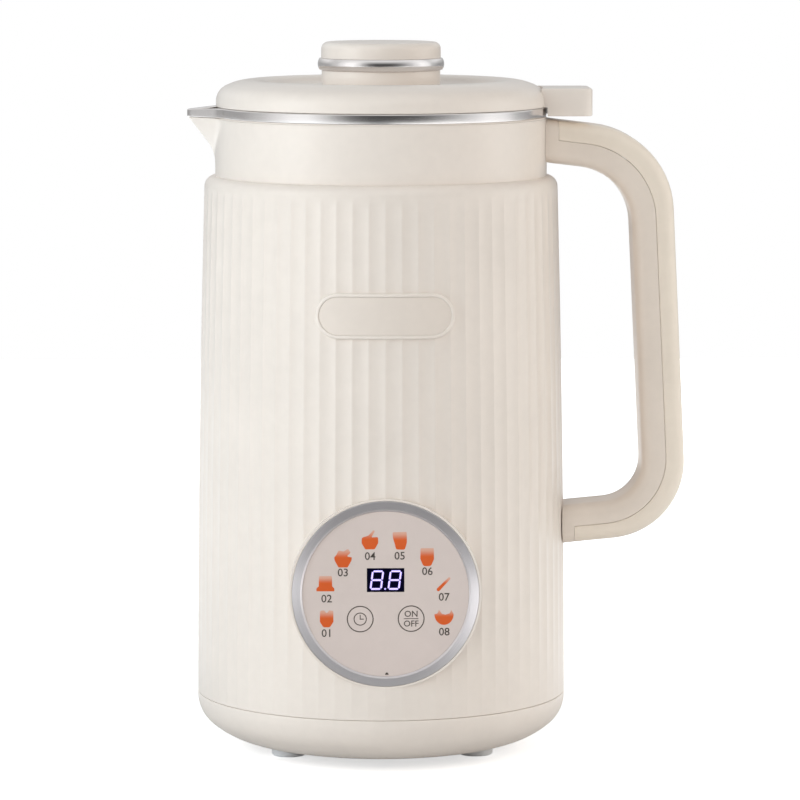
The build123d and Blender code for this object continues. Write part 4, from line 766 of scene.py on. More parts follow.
@dataclass(frozen=True)
class Plastic:
    """Moulded plastic or rubber with a fine skin and a trace of dust."""

    name: str
    colour: Colour
    roughness: float = 0.4
    coat: float = 0.0
    coat_roughness: float = 0.3
    shine: float = 0.5
    bump: float = 0.2
    dust: float = 0.05
    tone: float = 0.04

    def build(self, groups: Groups) -> bpy.types.Material:
        """Make the material.

        Args:
            groups: Shared shader groups.

        Returns:
            The finished material.
        """
        material, graph, shader = new_material(self.name)
        skin = groups.skin(graph, self.roughness)
        light = [min(c * (1 + self.tone), 255) for c in self.colour]
        dark = [c * (1 - self.tone) for c in self.colour]
        base = graph.mix(skin.outputs["Tone"], linear(dark), linear(light))
        where = graph.add("ShaderNodeTexCoord").outputs["Object"]
        film = {"Vector": where, "Colour": base, "Dust": linear(DUST), "Amount": self.dust}
        worn = graph.add("ShaderNodeGroup", film, node_tree=groups.wear)
        graph.link(worn.outputs["Colour"], shader.inputs["Base Color"])
        graph.link(skin.outputs["Roughness"], shader.inputs["Roughness"])
        graph.link(graph.relief(self.bump, skin.outputs["Height"]), shader.inputs["Normal"])
        shader.inputs["Coat Weight"].default_value = self.coat
        shader.inputs["Coat Roughness"].default_value = self.coat_roughness
        shader.inputs["Specular IOR Level"].default_value = self.shine
        return material


@dataclass(frozen=True)
class Metal:
    """Metal with brushed lines in one direction."""

    name: str
    colour: Colour
    roughness: float = 0.25
    lines: Lines = Lines.ROUND_UPRIGHT
    bump: float = 0.2
    spread: float = 0.1
    centre: float = 0.0
    streak: float = 0.0
    light: float = 1.05
    dark: float = 0.93
    across_scale: float = 9000.0
    along_scale: float = 2.0

    def build(self, groups: Groups) -> bpy.types.Material:
        """Make the material.

        Args:
            groups: Shared shader groups.

        Returns:
            The finished material.
        """
        material, graph, shader = new_material(self.name)
        shader.inputs["Metallic"].default_value = 1.0
        where = graph.add("ShaderNodeTexCoord").outputs["Object"]
        look = {"Vector": self.space(graph, where), "Fineness": 1.0, "Roughness": self.roughness,
                "Spread": self.spread}
        brush = graph.add("ShaderNodeGroup", look, node_tree=groups.brushed)
        light = [min(c * self.light, 255) for c in self.colour]
        dark = [c * self.dark for c in self.colour]
        base = graph.mix(brush.outputs["Tone"], linear(dark), linear(light))
        graph.link(base, shader.inputs["Base Color"])
        graph.link(brush.outputs["Roughness"], shader.inputs["Roughness"])
        graph.link(graph.relief(self.bump, brush.outputs["Height"]), shader.inputs["Normal"])
        if self.streak:
            axis = "Y" if self.lines is Lines.ROUND_FACING else "Z"
            along = graph.add("ShaderNodeTangent", direction_type="RADIAL", axis=axis)
            graph.link(along.outputs[0], shader.inputs["Tangent"])
            shader.inputs["Anisotropic"].default_value = self.streak
            shader.inputs["Anisotropic Rotation"].default_value = 0.25
        return material

    def space(self, graph: Graph, where: bpy.types.NodeSocket) -> bpy.types.NodeSocket:
        """Lay the lines' space over the piece.

        Args:
            graph: The material's graph.
            where: Object coordinates.

        Returns:
            A vector that changes fast across the lines and slowly along them.
        """
        centred = graph.add("ShaderNodeMapping", {"Vector": where, "Location": (0, 0, -self.centre * MM)}).outputs[0]
        x, y, z = graph.add("ShaderNodeSeparateXYZ", {0: centred}).outputs
        if self.lines is Lines.ROUND_FACING:
            across, along, third = graph.diagonal(x, z), graph.maths("ARCTAN2", z, x), y
        elif self.lines is Lines.ROUND_UPRIGHT:
            across, along, third = z, graph.maths("ARCTAN2", y, x), graph.diagonal(x, y)
        else:
            across, along, third = x, z, y
        scales = ((across, self.across_scale), (along, self.along_scale), (third, self.across_scale))
        ways = [graph.maths("MULTIPLY", way, scale) for way, scale in scales]
        return graph.add("ShaderNodeCombineXYZ", dict(enumerate(ways))).outputs[0]


@dataclass(frozen=True)
class Print:
    """Printed colour that fades into the ground towards the top of each mark."""

    name: str
    colour: Colour
    ground: Colour
    roughness: float = 0.3
    tone: float = 0.05
    fade_from: float = 0.5
    fade: float = 0.8

    def build(self, groups: Groups) -> bpy.types.Material:
        """Make the material.

        Args:
            groups: Shared shader groups.

        Returns:
            The finished material.
        """
        material, graph, shader = new_material(self.name)
        skin = groups.skin(graph, self.roughness)
        dark = [c * (1 - self.tone) for c in self.colour]
        ink = graph.mix(skin.outputs["Tone"], linear(dark), linear(self.colour))
        rise = graph.add("ShaderNodeAttribute", attribute_name="rise").outputs["Fac"]
        fade = graph.ramp(rise, self.fade_from, 1.0, 0.0, self.fade, soft=True)
        graph.link(graph.mix(fade, ink, linear(self.ground)), shader.inputs["Base Color"])
        graph.link(skin.outputs["Roughness"], shader.inputs["Roughness"])
        return material


@dataclass(frozen=True)
class Glow:
    """Lit or printed marks, and the painted glow round the lit digits."""

    name: str
    colour: Colour
    strength: float = 0.0
    roughness: float = 0.35
    tone: float = 0.06

    def build(self, groups: Groups) -> bpy.types.Material:
        """Make the material.

        Args:
            groups: Shared shader groups.

        Returns:
            The finished material.
        """
        material, graph, shader = new_material(self.name)
        skin = groups.skin(graph, self.roughness)
        dark = [c * (1 - self.tone) for c in self.colour]
        colour = graph.mix(skin.outputs["Tone"], linear(dark), linear(self.colour))
        graph.link(colour, shader.inputs["Base Color"])
        graph.link(skin.outputs["Roughness"], shader.inputs["Roughness"])
        if self.strength:
            graph.link(colour, shader.inputs["Emission Color"])
            shader.inputs["Emission Strength"].default_value = self.strength
        return material


FINISHES = (
    Plastic("casing_cream", (232, 221, 211), 0.42, coat=0.6, coat_roughness=0.34),
    Plastic("trim_cream", (234, 223, 213), 0.34, coat=0.6, coat_roughness=0.26, bump=0.06),
    Plastic("handle_pale", (234, 221, 208), 0.4, coat=0.4),
    Plastic("handle_tan", (240, 227, 211), 0.36, coat=0.5, coat_roughness=0.26, bump=0.08),
    Plastic("panel_beige", (215, 200, 193), 0.34, coat=0.3, bump=0.06),
    Plastic("badge_plate", (229, 217, 206), 0.34, coat=0.3, bump=0.06),
    Metal("brushed_ring", (236, 232, 234), 0.36, Lines.ROUND_FACING, centre=74.6, streak=0.8),
    Metal("vessel_steel", (232, 229, 228), 0.2, Lines.ROUND_UPRIGHT),
    Metal("bright_steel", (242, 239, 238), 0.15, Lines.ROUND_UPRIGHT, bump=0.04, spread=0.04),
    Metal("screw_steel", (170, 170, 168), 0.34, Lines.UPWARD),
    Metal("bracket_steel", (160, 162, 164), 0.42, Lines.UPWARD),
    Metal("laminations", (92, 92, 94), 0.5, Lines.ROUND_UPRIGHT, bump=0.8),
    Metal("copper", (196, 118, 74), 0.3, Lines.ROUND_UPRIGHT, bump=0.8),
    Metal("bronze", (182, 146, 92), 0.4, Lines.ROUND_UPRIGHT),
    Metal("aluminium", (196, 198, 200), 0.45, Lines.ROUND_UPRIGHT),
    Plastic("seal_cream", (228, 216, 206), 0.5, bump=0.1),
    Plastic("silicone", (226, 224, 218), 0.5, bump=0.1),
    Plastic("foot_rubber", (250, 249, 250), 0.4, bump=0.1),
    Plastic("dark_rubber", (38, 38, 38), 0.6, bump=0.3),
    Plastic("dark_plastic", (42, 42, 43), 0.42, bump=0.3),
    Plastic("display_dark", (2, 2, 28), 0.3, shine=0.04, bump=0.0, dust=0.0),
    Plastic("circuit_board", (46, 104, 66), 0.4),
    Plastic("lamp_orange", (236, 138, 60), 0.25, coat=0.3, bump=0.0),
    Plastic("liner_plastic", (228, 220, 206), 0.38),
    Print("mark_orange", (222, 93, 28), (222, 186, 166)),
    Glow("mark_ink", (78, 68, 60)),
    Glow("digit_light", (206, 190, 255), 0.8),
    # Painted glow: a dim emissive plate just wider than the digits stands in for their spilled light.
    Glow("digit_halo", (24, 10, 96), 0.5),
)


class Workshop:
    """Trees, groups, materials and the frame that every sub-assembly draws on."""

    def __init__(self, frame: dict[str, Any]) -> None:
        """Build what the pieces share.

        Args:
            frame: The loaded frame.
        """
        self.frame = frame
        self.trees = Trees()
        groups = Groups()
        self.materials = {finish.name: finish.build(groups) for finish in FINISHES}

    def dress(self, obj: bpy.types.Object, body: str, finish: str, nodes: Sequence[str] = (),
              sharp: float = 32.0) -> bpy.types.Object:
        """Finish a piece: shading, material, body and the CAD nodes that it stands for.

        Args:
            obj: The piece.
            body: CAD body that it rides on.
            finish: Name of the material.
            nodes: CAD nodes that it replaces.
            sharp: Angle in degrees past which an edge is sharp.

        Returns:
            The piece.
        """
        obj.data.name = obj.name
        obj.data.materials.clear()
        obj.data.materials.append(self.materials[finish])
        obj.data.polygons.foreach_set("material_index", [0] * len(obj.data.polygons))
        obj.data.shade_smooth()
        obj.data.set_sharp_from_angle(angle=math.radians(sharp))
        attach(obj, body)
        if nodes:
            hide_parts(*nodes)
        log.info("%s: %d faces on %s", obj.name, len(obj.data.polygons), body)
        return obj

    def keep(self, node: str, body: str, finish: str, sharp: float = 32.0) -> bpy.types.Object:
        """Put a merged, smoothly shaded copy in a CAD node's place.

        Args:
            node: CAD node.
            body: Body that it rides on.
            finish: Name of the material.
            sharp: Angle in degrees past which an edge is sharp.

        Returns:
            The copy.
        """
        source = self.frame["nodes"][node]
        shape = bmesh.new()
        shape.from_mesh(source.data)
        bmesh.ops.remove_doubles(shape, verts=shape.verts, dist=MERGE)
        mesh = bpy.data.meshes.new(node + "_form")
        shape.to_mesh(mesh)
        shape.free()
        return self.dress(linked(node + "_form", mesh), body, finish, (node,), sharp)

    def coat(self, finish: str, *nodes: str) -> None:
        """Give CAD nodes that keep their own mesh a procedural material."""
        for node in nodes:
            data = self.frame["nodes"][node].data
            data.materials.clear()
            data.materials.append(self.materials[finish])


# ---------------------------------------------------------------- sub-assemblies


@dataclass
class Casing:
    """Fluted casing with the round boss of the panel."""

    bottom_z: float = 23.8
    top_z: float = 235.5
    body_r: float = 75.5
    shoulder_r: float = 71.95
    taper_power: float = 1.65
    neck_r: float = 67.5
    wall: float = 2.4
    flute_count: int = 70
    flute_depth: float = 0.53
    flute_runout: float = 6.5
    flute_low_z: float = 20.0
    flute_low_runout: float = 48.0
    edge_break: float = 0.15
    flute_full_to: float = 90.0
    flute_upper_from: float = 140.0
    flute_upper_share: float = 0.75
    boss_r: float = 37.9
    boss_front_y: float = -75.35
    boss_root_y: float = -60.0
    bore_end_y: float = -55.0
    inlet_end_y: float = 62.0
    cut_reach: float = 90.0
    seat_play: float = 0.1
    panel_z: float = 74.6
    panel_back_y: float = -73.4
    bezel_r: float = 37.0
    ledge_r: float = 31.0
    inlet_z: float = 44.0
    inlet_half: Point = (14.15, 10.65)

    def flute_top(self) -> float:
        """Height at which the flutes have run out."""
        return self.top_z - (self.shoulder_r - self.neck_r)

    def radius(self, z: float) -> float:
        """Outer radius over the ridges at a height."""
        share = (z - self.bottom_z) / (self.flute_top() - self.bottom_z)
        return self.body_r - (self.body_r - self.shoulder_r) * min(max(share, 0), 1) ** self.taper_power

    def build(self, shop: Workshop) -> None:
        """Make the casing and put it in place of its node."""
        flute_top = self.flute_top()
        runout_z = flute_top - self.flute_runout
        rise = (runout_z - self.bottom_z) / 18
        heights = [self.bottom_z + self.edge_break] + [self.bottom_z + rise * k for k in range(1, 19)]
        heights += [runout_z + self.flute_runout * k / 8 for k in range(1, 8)]
        outer = [(self.body_r - self.edge_break, self.bottom_z)] + [(self.radius(z), z) for z in heights]
        round_r = self.shoulder_r - self.neck_r
        shoulder = [(self.neck_r + round_r * c, flute_top + round_r * s) for s, c in quarter(8)]
        inset = self.flute_depth + self.wall
        inner = [(self.neck_r - self.wall, self.top_z), (self.neck_r - self.wall, self.top_z - self.wall)]
        inner += [(self.radius(z) - inset, z) for z in (flute_top, 160.0, 90.0, self.bottom_z)]
        steps = (0, 0.06, 0.2, 0.35, 0.5, 0.65, 0.8, 0.94)
        pitch = 360 / self.flute_count
        angles = [-90 + pitch * (k + share) for k in range(self.flute_count) for share in steps]
        line = outer + shoulder + inner
        obj = turned("casing_skin", angles, lambda angle: line)
        marks = obj.data.attributes.new("outside", "FLOAT", "POINT")
        limit = [(self.radius(v.co.z / MM) - inset / 2) * MM for v in obj.data.vertices]
        flags = [1.0 if math.hypot(v.co.x, v.co.y) > reach else 0.0 for v, reach in zip(obj.data.vertices, limit)]
        marks.data.foreach_set("value", flags)
        run_tree(obj, shop.trees.flutes, {
            "Flutes": self.flute_count, "Depth": self.flute_depth * MM, "Run-out": self.flute_runout * MM,
            "Top": flute_top * MM, "Low": self.flute_low_z * MM, "Low run-out": self.flute_low_runout * MM,
            "Upper share": self.flute_upper_share, "Full to": self.flute_full_to * MM,
            "Upper from": self.flute_upper_from * MM, "Finish": shop.materials["casing_cream"]})
        for name, radius, front_y, back_y, count, step in (
                ("boss", self.boss_r, self.boss_front_y, self.boss_root_y, 192, Cut.TOGETHER),
                ("seat", self.bezel_r + self.seat_play, -self.cut_reach, self.panel_back_y, 192, Cut.AWAY),
                ("bore", self.ledge_r, -self.cut_reach, self.bore_end_y, 96, Cut.AWAY)):
            obj = boolean(obj, rod(name, radius, (0, front_y, self.panel_z), (0, back_y, self.panel_z), count), step)
        half_x, half_z = self.inlet_half
        mouth = box("mouth", (-half_x, self.inlet_end_y, self.inlet_z - half_z),
                    (half_x, self.cut_reach, self.inlet_z + half_z))
        obj = boolean(obj, mouth, Cut.AWAY)
        obj.name = "casing_skin"
        shop.dress(obj, "housing", "casing_cream", ("outer_shell",), 40.0)


@dataclass
class Base:
    """Bowl under the seam with its feet, vents and screws."""

    casing: Casing
    bottom_z: float = 4.0
    flat_r: float = 50.0
    round_height: float = 18.0
    side_round: float = 13.5
    top_z: float = 23.65
    wall: float = 2.4
    tongue_r: float = 72.42
    tongue_wall: float = 2.0
    tongue_top_z: float = 29.8
    vent_count: int = 18
    vent_inner_r: float = 13.0
    vent_outer_r: float = 30.0
    vent_width: float = 2.8
    foot_count: int = 3
    foot_r: float = 7.0
    foot_circle_r: float = 44.0
    foot_pocket: float = 0.8
    screw_circle_r: float = 47.0
    screw_head_r: float = 3.2
    screw_head_height: float = 2.2
    screw_r: float = 1.6
    screw_length: float = 18.0
    recess_half: Point = (2.0, 0.45)
    recess_depth: float = 1.2
    edge_round: float = 0.2
    edge_cut: float = 0.06
    play: float = 0.15

    def outline(self, inset: float) -> list[Point]:
        """Rounded side of the bowl at an inset, from the flat up to the side."""
        body_r = self.casing.body_r
        rise = oval_quarter((self.flat_r, 0), body_r - self.flat_r, self.round_height, self.side_round, -inset, 14)
        round_top = self.bottom_z + self.round_height
        return [(r, round_top - z) for r, z in reversed(rise)]

    def build(self, shop: Workshop) -> None:
        """Make the bowl, the feet and the screws."""
        body_r = self.casing.body_r
        inner_r = self.tongue_r - self.tongue_wall
        line = [(0, self.bottom_z)] + self.outline(0)
        edge, cut = self.edge_round, self.edge_cut
        line += [(body_r, self.top_z - edge), (body_r - cut, self.top_z - cut), (body_r - edge, self.top_z)]
        line += [(self.tongue_r, self.top_z), (self.tongue_r, self.tongue_top_z), (inner_r, self.tongue_top_z)]
        inner = self.outline(self.wall)
        line += [(inner_r, inner[-1][1])] + [p for p in reversed(inner) if p[0] < inner_r]
        line += [(0, self.bottom_z + self.wall)]
        bowl = lathe("bowl_skin", line, 160)
        low, high = self.bottom_z - 2, self.bottom_z + self.wall + 2
        half = self.vent_width / 2
        slot = box("slot", (self.vent_inner_r, -half, low), (self.vent_outer_r, half, high))
        pocket = rod("pocket", self.foot_r + self.play, (self.foot_circle_r, 0, low),
                     (self.foot_circle_r, 0, self.bottom_z + self.foot_pocket), 48)
        hole = rod("hole", self.screw_head_r + self.play, (self.screw_circle_r, 0, low),
                   (self.screw_circle_r, 0, high), 32)
        around = shop.trees.around
        bowl = boolean(bowl, around("slots", slot, self.vent_count, 0, None), Cut.AWAY)
        bowl = boolean(bowl, around("pockets", pocket, self.foot_count, 90, None), Cut.AWAY)
        bowl = boolean(bowl, around("holes", hole, self.foot_count, -90, None), Cut.AWAY)
        bowl.name = "bowl_skin"
        shop.dress(bowl, "housing", "casing_cream", ("base_bowl",))
        self.build_feet(shop)
        self.build_screws(shop)

    def build_feet(self, shop: Workshop) -> None:
        """Make the round pads."""
        top = self.bottom_z + self.foot_pocket
        line = rounded([(0, 0, 0), (self.foot_r, 0, 0.8), (self.foot_r, top, 0), (0, top, 0)], 5)
        pad = place(lathe("pad", line, 48), shift(self.foot_circle_r, 0))
        feet = shop.trees.around("feet", pad, self.foot_count, 90, shop.materials["foot_rubber"])
        shop.dress(feet, "housing", "foot_rubber", ("rubber_feet",))

    def build_screws(self, shop: Workshop) -> None:
        """Make the screws in the bowl's floor, with a cross recess."""
        head_z = self.bottom_z + self.foot_pocket
        under_z, tip_z = head_z + self.screw_head_height, head_z + self.screw_length
        line = rounded([(0, head_z, 0), (self.screw_head_r, head_z, 0.6), (self.screw_head_r, under_z, 0),
                        (self.screw_r, under_z, 0), (self.screw_r, tip_z, 0), (0, tip_z, 0)], 3)
        screw = lathe("screw", line, 32)
        half_x, half_y = self.recess_half
        for turn in (0, 90):
            wing = box("wing", (-half_x, -half_y, head_z - 1), (half_x, half_y, head_z + self.recess_depth))
            screw = boolean(screw, place(wing, Matrix.Rotation(math.radians(turn), 4, "Z")), Cut.AWAY)
        place(screw, shift(self.screw_circle_r, 0))
        ring = shop.trees.around("bowl_screws", screw, self.foot_count, -90, shop.materials["screw_steel"])
        shop.dress(ring, "housing", "screw_steel", ("base_screws",))


@dataclass
class SpoutLine:
    """Plan outline of a spout at one height, as a radius over the angle from its tip."""

    root_r: float
    tip_r: float
    spread: float = 1.0
    inset: float = 0.0
    root_angle: float = 19.0
    nose_r: float = 5.6

    def radius(self, away: float) -> float:
        """Radius at an angle from the spout's middle.

        Args:
            away: Angle in degrees from the spout's middle line.

        Returns:
            Radius of the outline, or nothing beyond the root.
        """
        angle = math.radians(self.root_angle * self.spread)
        root = (self.root_r * math.cos(angle), self.root_r * math.sin(angle) - self.inset)
        nose = max(self.nose_r * self.spread - self.inset, 0.8)
        centre = self.tip_r - nose
        run = centre - root[0]
        lean = math.acos(nose / math.hypot(root[1], run)) - math.atan2(run, root[1])
        touch = (centre + nose * math.sin(lean), nose * math.cos(lean))
        phi = math.radians(abs(away))
        if phi > angle:
            return 0.0
        if phi <= math.atan2(touch[1], touch[0]):
            return centre * math.cos(phi) + math.sqrt(max(nose ** 2 - (centre * math.sin(phi)) ** 2, 0))
        way = (touch[0] - root[0], touch[1] - root[1])
        ray = (math.cos(phi), math.sin(phi))
        share = -(root[0] * ray[1] - root[1] * ray[0]) / (way[0] * ray[1] - way[1] * ray[0])
        return math.hypot(root[0] + share * way[0], root[1] + share * way[1])


def spout_angles() -> list[float]:
    """Angles round a turn, close together at the spout on the -X side."""
    near = [180 - 30 + 0.6 * k for k in range(101)]
    far = [210 + 3.0 * k for k in range(1, 100)]
    return near + far


@dataclass
class Neck:
    """Smooth collar with the guard below the steel spout."""

    bottom_z: float = 235.5
    top_z: float = 258.9
    neck_r: float = 67.5
    wall: float = 2.5
    guard_height: float = 18.4
    reach: float = 10.6
    guard_wall: float = 1.8
    edge: float = 0.45
    guard_lift: float = 0.4
    blend: Point = (0.2, 1.6)
    rise: tuple[Point, ...] = ((0, -0.02), (0.2, 0.05), (0.4, 0.2), (0.7, 0.6), (1, 1))
    spread: tuple[Point, ...] = ((0, 0.35), (0.2, 0.5), (0.4, 0.66), (0.7, 0.85), (1, 1))

    def radius(self, angle: float, z: float, inset: float, base: float) -> float:
        """Radius of the collar's outer or inner face.

        Args:
            angle: Angle in degrees about Z.
            z: Height.
            inset: How far the face lies inside the outer outline.
            base: Radius away from the spout.

        Returns:
            The radius, with a soft meeting line at the spout's root.
        """
        share = (z - self.top_z + self.guard_height) / self.guard_height
        if share < 0:
            return base
        share = min(share, 1.0)
        tip = self.neck_r - inset + between(self.rise, share) * self.reach
        line = SpoutLine(self.neck_r - self.wall / 2 - inset, tip, between(self.spread, share), inset)
        blend = self.blend[0] + self.blend[1] * share
        return smooth_max(base, max(line.radius(angle - 180), base - blend), blend)

    def outline(self, angle: float) -> list[Point]:
        """Closed outline of the collar at an angle."""
        inner_r = self.neck_r - self.wall
        guard = self.top_z - self.guard_height
        swell = self.radius(angle, self.top_z, 0, self.neck_r) - self.neck_r
        top_z = self.top_z + self.guard_lift * min(max(swell, 0), 1)
        span = top_z - self.edge - guard
        heights = [self.bottom_z, self.bottom_z + 2.0] + [guard + span * k / 20 for k in range(21)]
        outer = [(self.radius(angle, z, 0, self.neck_r), z) for z in heights]
        rim_out = self.radius(angle, top_z, 0, self.neck_r)
        rim_in = self.radius(angle, top_z, self.guard_wall, inner_r)
        rim = [(rim_out - self.edge * 0.3, top_z - self.edge * 0.3), (rim_out - self.edge, top_z), (rim_in, top_z)]
        inner = [(self.radius(angle, z, self.guard_wall, inner_r), z) for z in reversed(heights)]
        return outer + rim + inner

    def build(self, shop: Workshop) -> None:
        """Make the collar and the gasket on it."""
        collar = turned("collar_skin", spout_angles(), self.outline)
        shop.dress(collar, "housing", "trim_cream", ("neck_collar",))
        shop.keep("rim_gasket", "housing", "seal_cream")


@dataclass
class Vessel:
    """Steel vessel with a flared mouth, a rolled rim and a pouring spout."""

    neck: Neck
    radius: float = 61.0
    wall: float = 0.8
    floor_z: float = 124.0
    corner_r: float = 15.0
    hole_r: float = 9.15
    rim_inner_r: float = 63.9
    rim_outer_r: float = 67.3
    rim_bottom_z: float = 259.4
    rim_top_z: float = 263.4
    rim_round: float = 0.6
    flare_height: float = 5.0
    flare_drop: float = 3.0
    spout_drop: float = 15.5
    lip_reach: float = 0.7
    lip_fall: float = 0.9
    fit_gap: float = 0.15
    wall_levels: tuple[float, ...] = (165.0, 190.0, 215.0)
    blend: Point = (0.2, 1.4)

    def wall_radius(self, angle: float, z: float, offset: float) -> float:
        """Radius of the wall, with the spout, at an inward offset from its outside."""
        flare_top = self.rim_bottom_z - self.flare_drop
        flare_bottom = flare_top - self.flare_height
        flare = min(max((z - flare_bottom) / self.flare_height, 0), 1)
        base = self.radius + self.wall - offset + (self.rim_inner_r - self.radius) * flare
        share = (z - self.rim_bottom_z + self.spout_drop) / self.spout_drop
        if share <= 0:
            return base
        share = min(share, 1.0)
        inset = self.neck.guard_wall + self.fit_gap
        wall_r = self.radius + self.wall
        reach = self.neck.neck_r + self.neck.reach - inset - wall_r
        tip = wall_r - offset + between(self.neck.rise, share) * reach
        line = SpoutLine(self.radius + self.wall / 2 - offset, tip, between(self.neck.spread, share), inset + offset)
        blend = self.blend[0] + self.blend[1] * share
        return smooth_max(base, max(line.radius(angle - 180), base - blend), blend)

    def rim_radius(self, angle: float, inner: bool) -> float:
        """Radius of the rim band's outer or inner face."""
        if inner:
            return max(self.wall_radius(angle, self.rim_bottom_z, self.wall), self.rim_inner_r)
        tip = self.neck.neck_r + self.neck.reach + self.lip_reach
        line = SpoutLine(self.rim_inner_r + self.wall, tip)
        return smooth_max(self.rim_outer_r, max(line.radius(angle - 180), self.rim_outer_r - 2), 2)

    def corner(self, radius: float, bend: float, z: float) -> list[Point]:
        """Rounded corner from the floor's level up to the wall."""
        return [(radius - bend + bend * s, z + bend - bend * c) for s, c in quarter(8)]

    def outline(self, angle: float) -> list[Point]:
        """Closed outline of the vessel at an angle."""
        under_z, outer_r = self.floor_z - self.wall, self.radius + self.wall
        start = self.rim_bottom_z - self.spout_drop
        heights = [start + (self.rim_bottom_z - start) * k / 18 for k in range(19)]
        line = [(self.hole_r, under_z)] + self.corner(outer_r, self.corner_r + self.wall, under_z)
        line += [(outer_r, z) for z in self.wall_levels]
        line += [(self.wall_radius(angle, z, 0), z) for z in heights]
        out_r, in_r = self.rim_radius(angle, False), self.rim_radius(angle, True)
        swell = (out_r - self.rim_outer_r) / (self.neck.reach + self.lip_reach)
        low, high, bend = self.rim_bottom_z, self.rim_top_z - self.lip_fall * max(swell, 0), self.rim_round
        line += rounded([(out_r, low, 0.4), (out_r, high, bend), (in_r, high, bend), (in_r, low, 0)], 5)
        line += [(self.wall_radius(angle, z, self.wall), z) for z in reversed(heights[:-1])]
        line += [(self.radius, z) for z in reversed(self.wall_levels)]
        line += reversed(self.corner(self.radius, self.corner_r, self.floor_z))
        return line + [(self.hole_r, self.floor_z)]

    def build(self, shop: Workshop) -> None:
        """Make the vessel."""
        vessel = turned("vessel_skin", spout_angles(), self.outline)
        shop.dress(vessel, "housing", "vessel_steel", ("inner_vessel",), 40.0)


@dataclass
class Panel:
    """Round control panel: brushed ring, flat face, display and marks."""

    centre_z: float = 74.6
    front_y: float = -75.2
    back_y: float = -73.4
    bezel_r: float = 37.0
    bezel_inner_r: float = 33.0
    bezel_proud: float = 0.75
    bezel_fall: float = 0.5
    display_rise: float = 5.6
    display_width: float = 14.75
    display_height: float = 9.45
    lens: float = 1.0
    window_play: float = 0.04
    face_play: float = 0.05
    cut_y: Point = (-90.0, -60.0)

    def facing(self, height: float = 0.0) -> Matrix:
        """Matrix from a drawing in millimetres on the XY plane to the panel's front.

        Args:
            height: Distance in front of the panel's face.

        Returns:
            The placing matrix.
        """
        turn = Matrix.Rotation(math.pi / 2, 4, "X")
        return shift(0, self.front_y - height, self.centre_z) @ turn

    def build(self, shop: Workshop) -> None:
        """Make ring, face and display."""
        height = self.back_y - self.front_y + self.bezel_proud
        slope = self.bezel_proud
        line = rounded([(self.bezel_inner_r, 0, 0), (self.bezel_r, 0, 0), (self.bezel_r, height - self.bezel_fall, 0.3),
                        (self.bezel_inner_r + slope, height, 0.15), (self.bezel_inner_r, height - slope, 0.08)], 6)
        ring = lathe("bezel_ring", line, 256)
        back = shift(0, self.back_y, self.centre_z) @ Matrix.Rotation(math.pi / 2, 4, "X")
        place(ring, back)
        shop.dress(ring, "housing", "brushed_ring", ("panel_bezel",))
        thickness = self.back_y - self.front_y
        disc_r = self.bezel_inner_r - self.face_play
        disc = lathe("face_disc", [(0, 0), (disc_r, 0), (disc_r, thickness), (0, thickness)], 192)
        place(disc, back)
        half_x, half_z = self.display_width / 2 + self.window_play, self.display_height / 2 + self.window_play
        z = self.centre_z + self.display_rise
        window = box("window", (-half_x, self.cut_y[0], z - half_z), (half_x, self.cut_y[1], z + half_z))
        disc = boolean(disc, window, Cut.AWAY)
        disc.name = "face_disc"
        shop.dress(disc, "housing", "panel_beige", ("panel_face",))
        half_x, half_z = self.display_width / 2, self.display_height / 2
        glass = box("display_glass", (-half_x, self.front_y, z - half_z),
                    (half_x, self.front_y + self.lens, z + half_z))
        shop.dress(glass, "housing", "display_dark", ("display_window",))


class Mark(Enum):
    """Plain food and vessel shapes of the eight function marks."""

    CUP = "cup"
    JAR = "jar"
    STEAMING = "steaming bowl"
    SPOONED = "bowl with a spoon"
    BEAKER = "beaker"
    TUMBLER = "tumbler"
    STICK = "stick"
    SPLASH = "splashing bowl"


MARK_CORNERS: dict[Mark, tuple[int, tuple[Corner, ...]]] = {
    Mark.CUP: (5, ((-2.6, 3.2, 0.5), (-2.7, -1.2, 1.4), (-1.3, -3.4, 1.2), (1.3, -3.4, 1.2), (2.7, -1.2, 1.4),
                   (2.6, 3.2, 0.5), (1.0, 3.4, 0.4), (0.0, 2.2, 0.3), (-1.0, 3.4, 0.4))),
    Mark.JAR: (4, ((-2.5, 3.1, 0.5), (-2.6, -1.0, 0.3), (-3.5, -1.8, 0.4), (-3.6, -3.0, 0.3), (3.6, -3.0, 0.3),
                   (3.5, -1.8, 0.4), (2.7, -1.0, 0.3), (2.6, 3.1, 0.5))),
    Mark.STEAMING: (4, ((-3.5, 0.1, 0.5), (-3.3, -1.2, 0.9), (-1.8, -3.9, 0.7), (1.8, -3.9, 0.7), (3.3, -1.2, 0.9),
                        (3.5, 0.1, 0.3), (1.4, 0.5, 0.3), (3.0, 2.0, 0.3), (2.0, 3.6, 0.5), (0.2, 2.5, 0.4),
                        (-1.8, 2.9, 0.6), (-2.6, 1.2, 0.5))),
    Mark.SPOONED: (5, ((-3.2, 1.2, 0.8), (-3.3, -0.9, 1.2), (-1.9, -3.4, 0.9), (1.9, -3.4, 0.9), (3.3, -0.9, 1.2),
                       (3.2, 1.5, 0.5), (0.5, 1.3, 0.3), (2.1, 4.0, 0.4), (1.3, 4.2, 0.3), (-0.6, 2.1, 0.5))),
    Mark.BEAKER: (5, ((-2.9, 3.4, 0.4), (-2.7, 1.0, 0.8), (-1.9, -1.6, 0.5), (-1.5, -3.5, 0.9), (2.0, -3.6, 0.9),
                      (2.8, -0.6, 1.2), (2.7, 3.5, 0.4))),
    Mark.TUMBLER: (5, ((-2.6, 3.5, 0.4), (-2.7, -0.9, 1.2), (-1.5, -3.7, 1.2), (1.5, -3.7, 1.2), (2.7, -0.9, 1.2),
                       (2.6, 3.5, 0.4))),
    Mark.STICK: (5, ((-2.9, -1.9, 0.6), (-1.9, -2.9, 0.6), (2.9, 2.4, 0.4), (2.4, 3.2, 0.4))),
}


